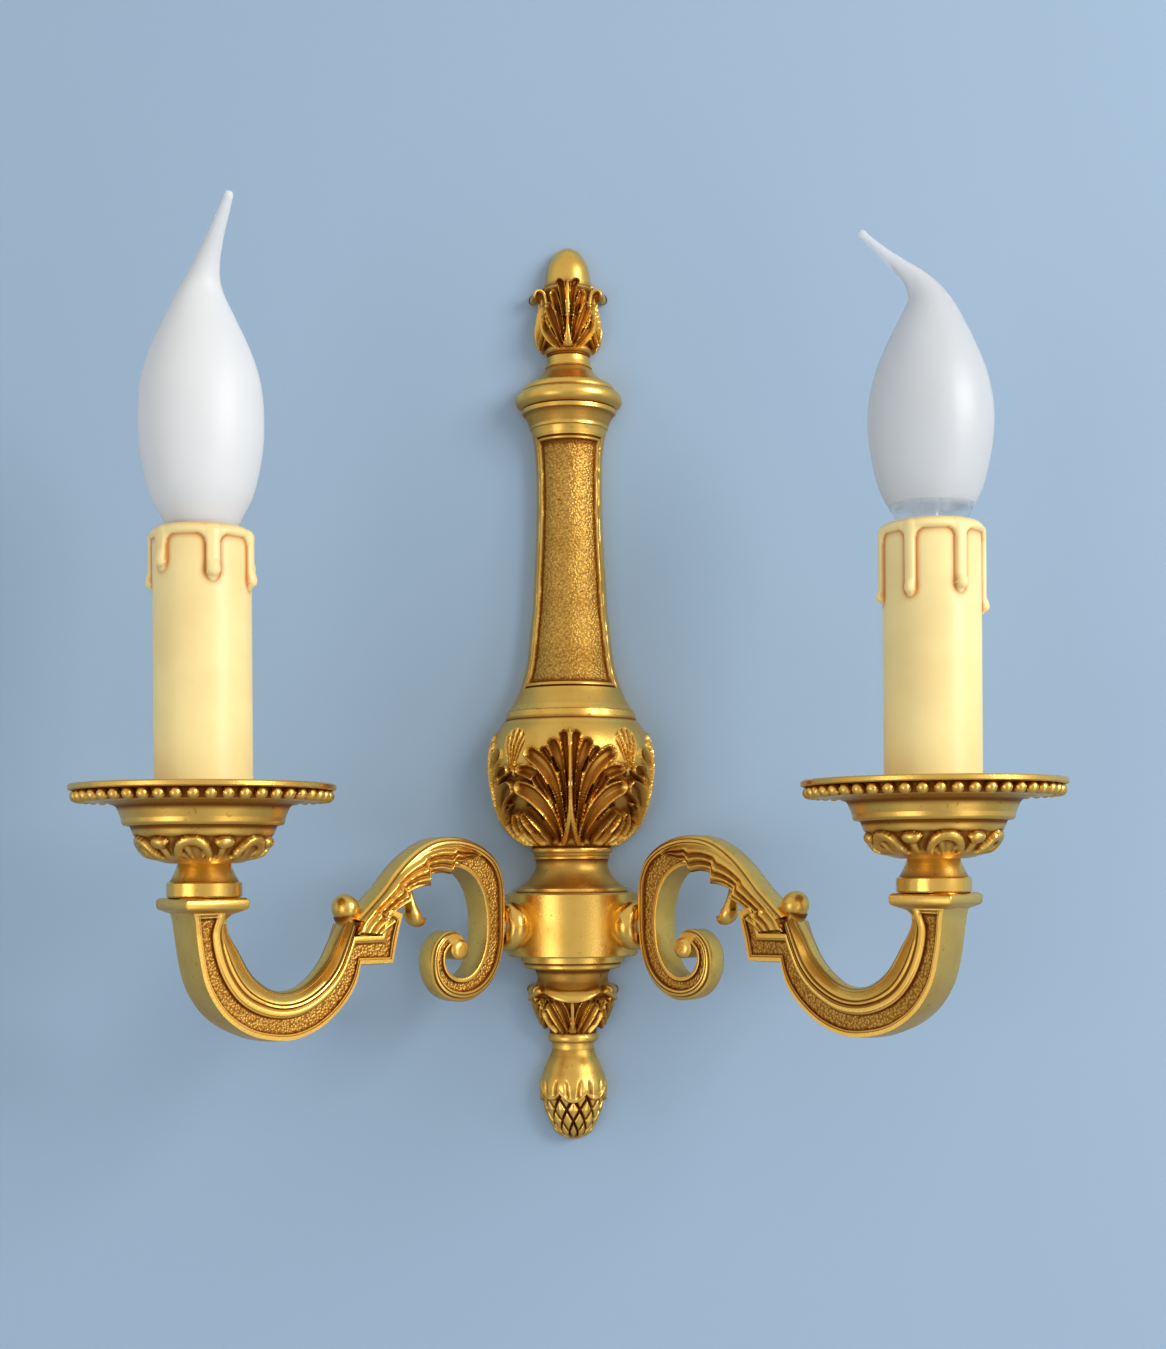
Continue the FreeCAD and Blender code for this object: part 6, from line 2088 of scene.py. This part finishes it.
@dataclass
class Studio:
    """The painted wall that the light hangs on, a pale floor, soft lamps and the camera."""

    wall: Triple = (0.315, 0.435, 0.575)
    ground: Triple = (0.62, 0.66, 0.70)
    sky: Triple = (1.0, 0.985, 0.955)
    sky_strength: float = 0.63
    width: int = 1166
    focal: float = 1842.4
    rise: float = 188.2
    stand: Triple = (6.9, -603.4, 20.0)
    yaw: float = -0.31
    roll: float = -0.40

    def build(self) -> None:
        """Set up the stage, the lights, the view and the camera."""
        self.backdrop()
        self.lights()
        self.camera()
        bpy.context.scene.view_settings.view_transform = "Standard"

    def backdrop(self) -> None:
        """Add the wall behind the light and the floor far below it."""
        for name, size, place, tilt in (("wall", 6.0, (0, 0.0006, 0), 90.0),
                                        ("floor", 6.0, (0, -3.0, -0.9), 0.0)):
            Bench.clear()
            bpy.ops.mesh.primitive_plane_add(size=size, location=place,
                                             rotation=(math.radians(tilt), 0, 0))
            plane = Bench.named(name)
            Bench.place(plane, plane.matrix_world.copy())
            plane.data.materials.append(self.paint(name))

    def paint(self, name: str) -> bpy.types.Material:
        """Make the stage's matt paint, not seen from behind nor by a back that lies on it.

        Args:
            name: the material's name.

        Returns:
            The material.
        """
        nodes = Nodes(f"{name}_paint")
        tint = nodes.spread(nodes.noise(3.0, 2.0), 0.3, 0.7, 0.0, 0.12)
        plain = self.wall if name == "wall" else self.ground
        darker = tuple(part * 0.93 for part in plain)
        nodes.set(Base_Color=nodes.blend(tint, plain, darker), Roughness=0.85)
        either, behind = nodes.add("MixShader"), nodes.add("NewGeometry").outputs["Backfacing"]
        touching = nodes.math("LESS_THAN", nodes.add("LightPath").outputs["Ray Length"], 0.0012)
        for slot, source in enumerate((nodes.math("ADD", behind, touching),
                                       nodes.shader.outputs[0],
                                       nodes.add("BsdfTransparent").outputs[0])):
            nodes.put(source, either.inputs[slot])
        nodes.put(either.outputs[0], nodes.output.inputs[0])
        return nodes.material

    def lights(self) -> None:
        """Hang a soft key high on the right and weak fills low on both sides, in a pale world."""
        for name, place, size, power in (("key", (1.1, -0.85, 0.50), 0.8, 14.3),
                                         ("fill", (-0.9, -1.1, -0.3), 0.9, 3.2),
                                         ("low", (0.9, -1.1, -0.6), 0.8, 2.0)):
            lamp = bpy.data.lights.new(name, "AREA")
            lamp.shape = "DISK"
            lamp.size = size
            lamp.energy = power
            holder = bpy.data.objects.new(name, lamp)
            bpy.context.scene.collection.objects.link(holder)
            holder.location = place
            aim = Vector((0, -0.05, 0.0)) - Vector(place)
            holder.rotation_euler = aim.to_track_quat("-Z", "Y").to_euler()
        world = bpy.data.worlds.new("studio")
        world.use_nodes = True
        colour, strength = world.node_tree.nodes["Background"].inputs[:2]
        colour.default_value = (*self.sky, 1)
        strength.default_value = self.sky_strength
        bpy.context.scene.world = world

    def camera(self) -> None:
        """Stand the camera where the photograph was taken from."""
        lens = bpy.data.cameras.new("camera")
        lens.sensor_fit = "HORIZONTAL"
        lens.sensor_width = 36.0
        lens.lens = self.focal / self.width * lens.sensor_width
        lens.shift_y = self.rise / self.width
        lens.clip_start = 0.01
        camera = bpy.data.objects.new("camera", lens)
        yaw, roll = math.radians(self.yaw), math.radians(self.roll)
        ahead = Vector((math.sin(yaw), math.cos(yaw), 0))
        right = Vector((math.cos(yaw), -math.sin(yaw), 0))
        tilted = right * math.cos(roll) + Vector((0, 0, math.sin(roll)))
        up = -right * math.sin(roll) + Vector((0, 0, math.cos(roll)))
        turn = Matrix((tilted, up, -ahead)).transposed().to_4x4()
        camera.matrix_world = Bench.shift(*self.stand) @ turn
        bpy.context.scene.collection.objects.link(camera)
        bpy.context.scene.camera = camera


def main() -> None:
    """Build the light's pieces in order, dress them and set up the studio."""
    logging.basicConfig(level=logging.INFO, format="%(name)s: %(message)s")
    for name in ("Cube", "Light", "Camera"):
        if name in bpy.data.objects:
            bpy.data.objects.remove(bpy.data.objects[name])
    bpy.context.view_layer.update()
    finishes = Finishes()
    Fittings(finishes).build()
    Column(finishes).build()
    for side in Side:
        Arm(side, finishes).build()
        Candle(side, finishes).build()
    Studio().build()
    Bench.clear()


if __name__ == "__main__":
    main()
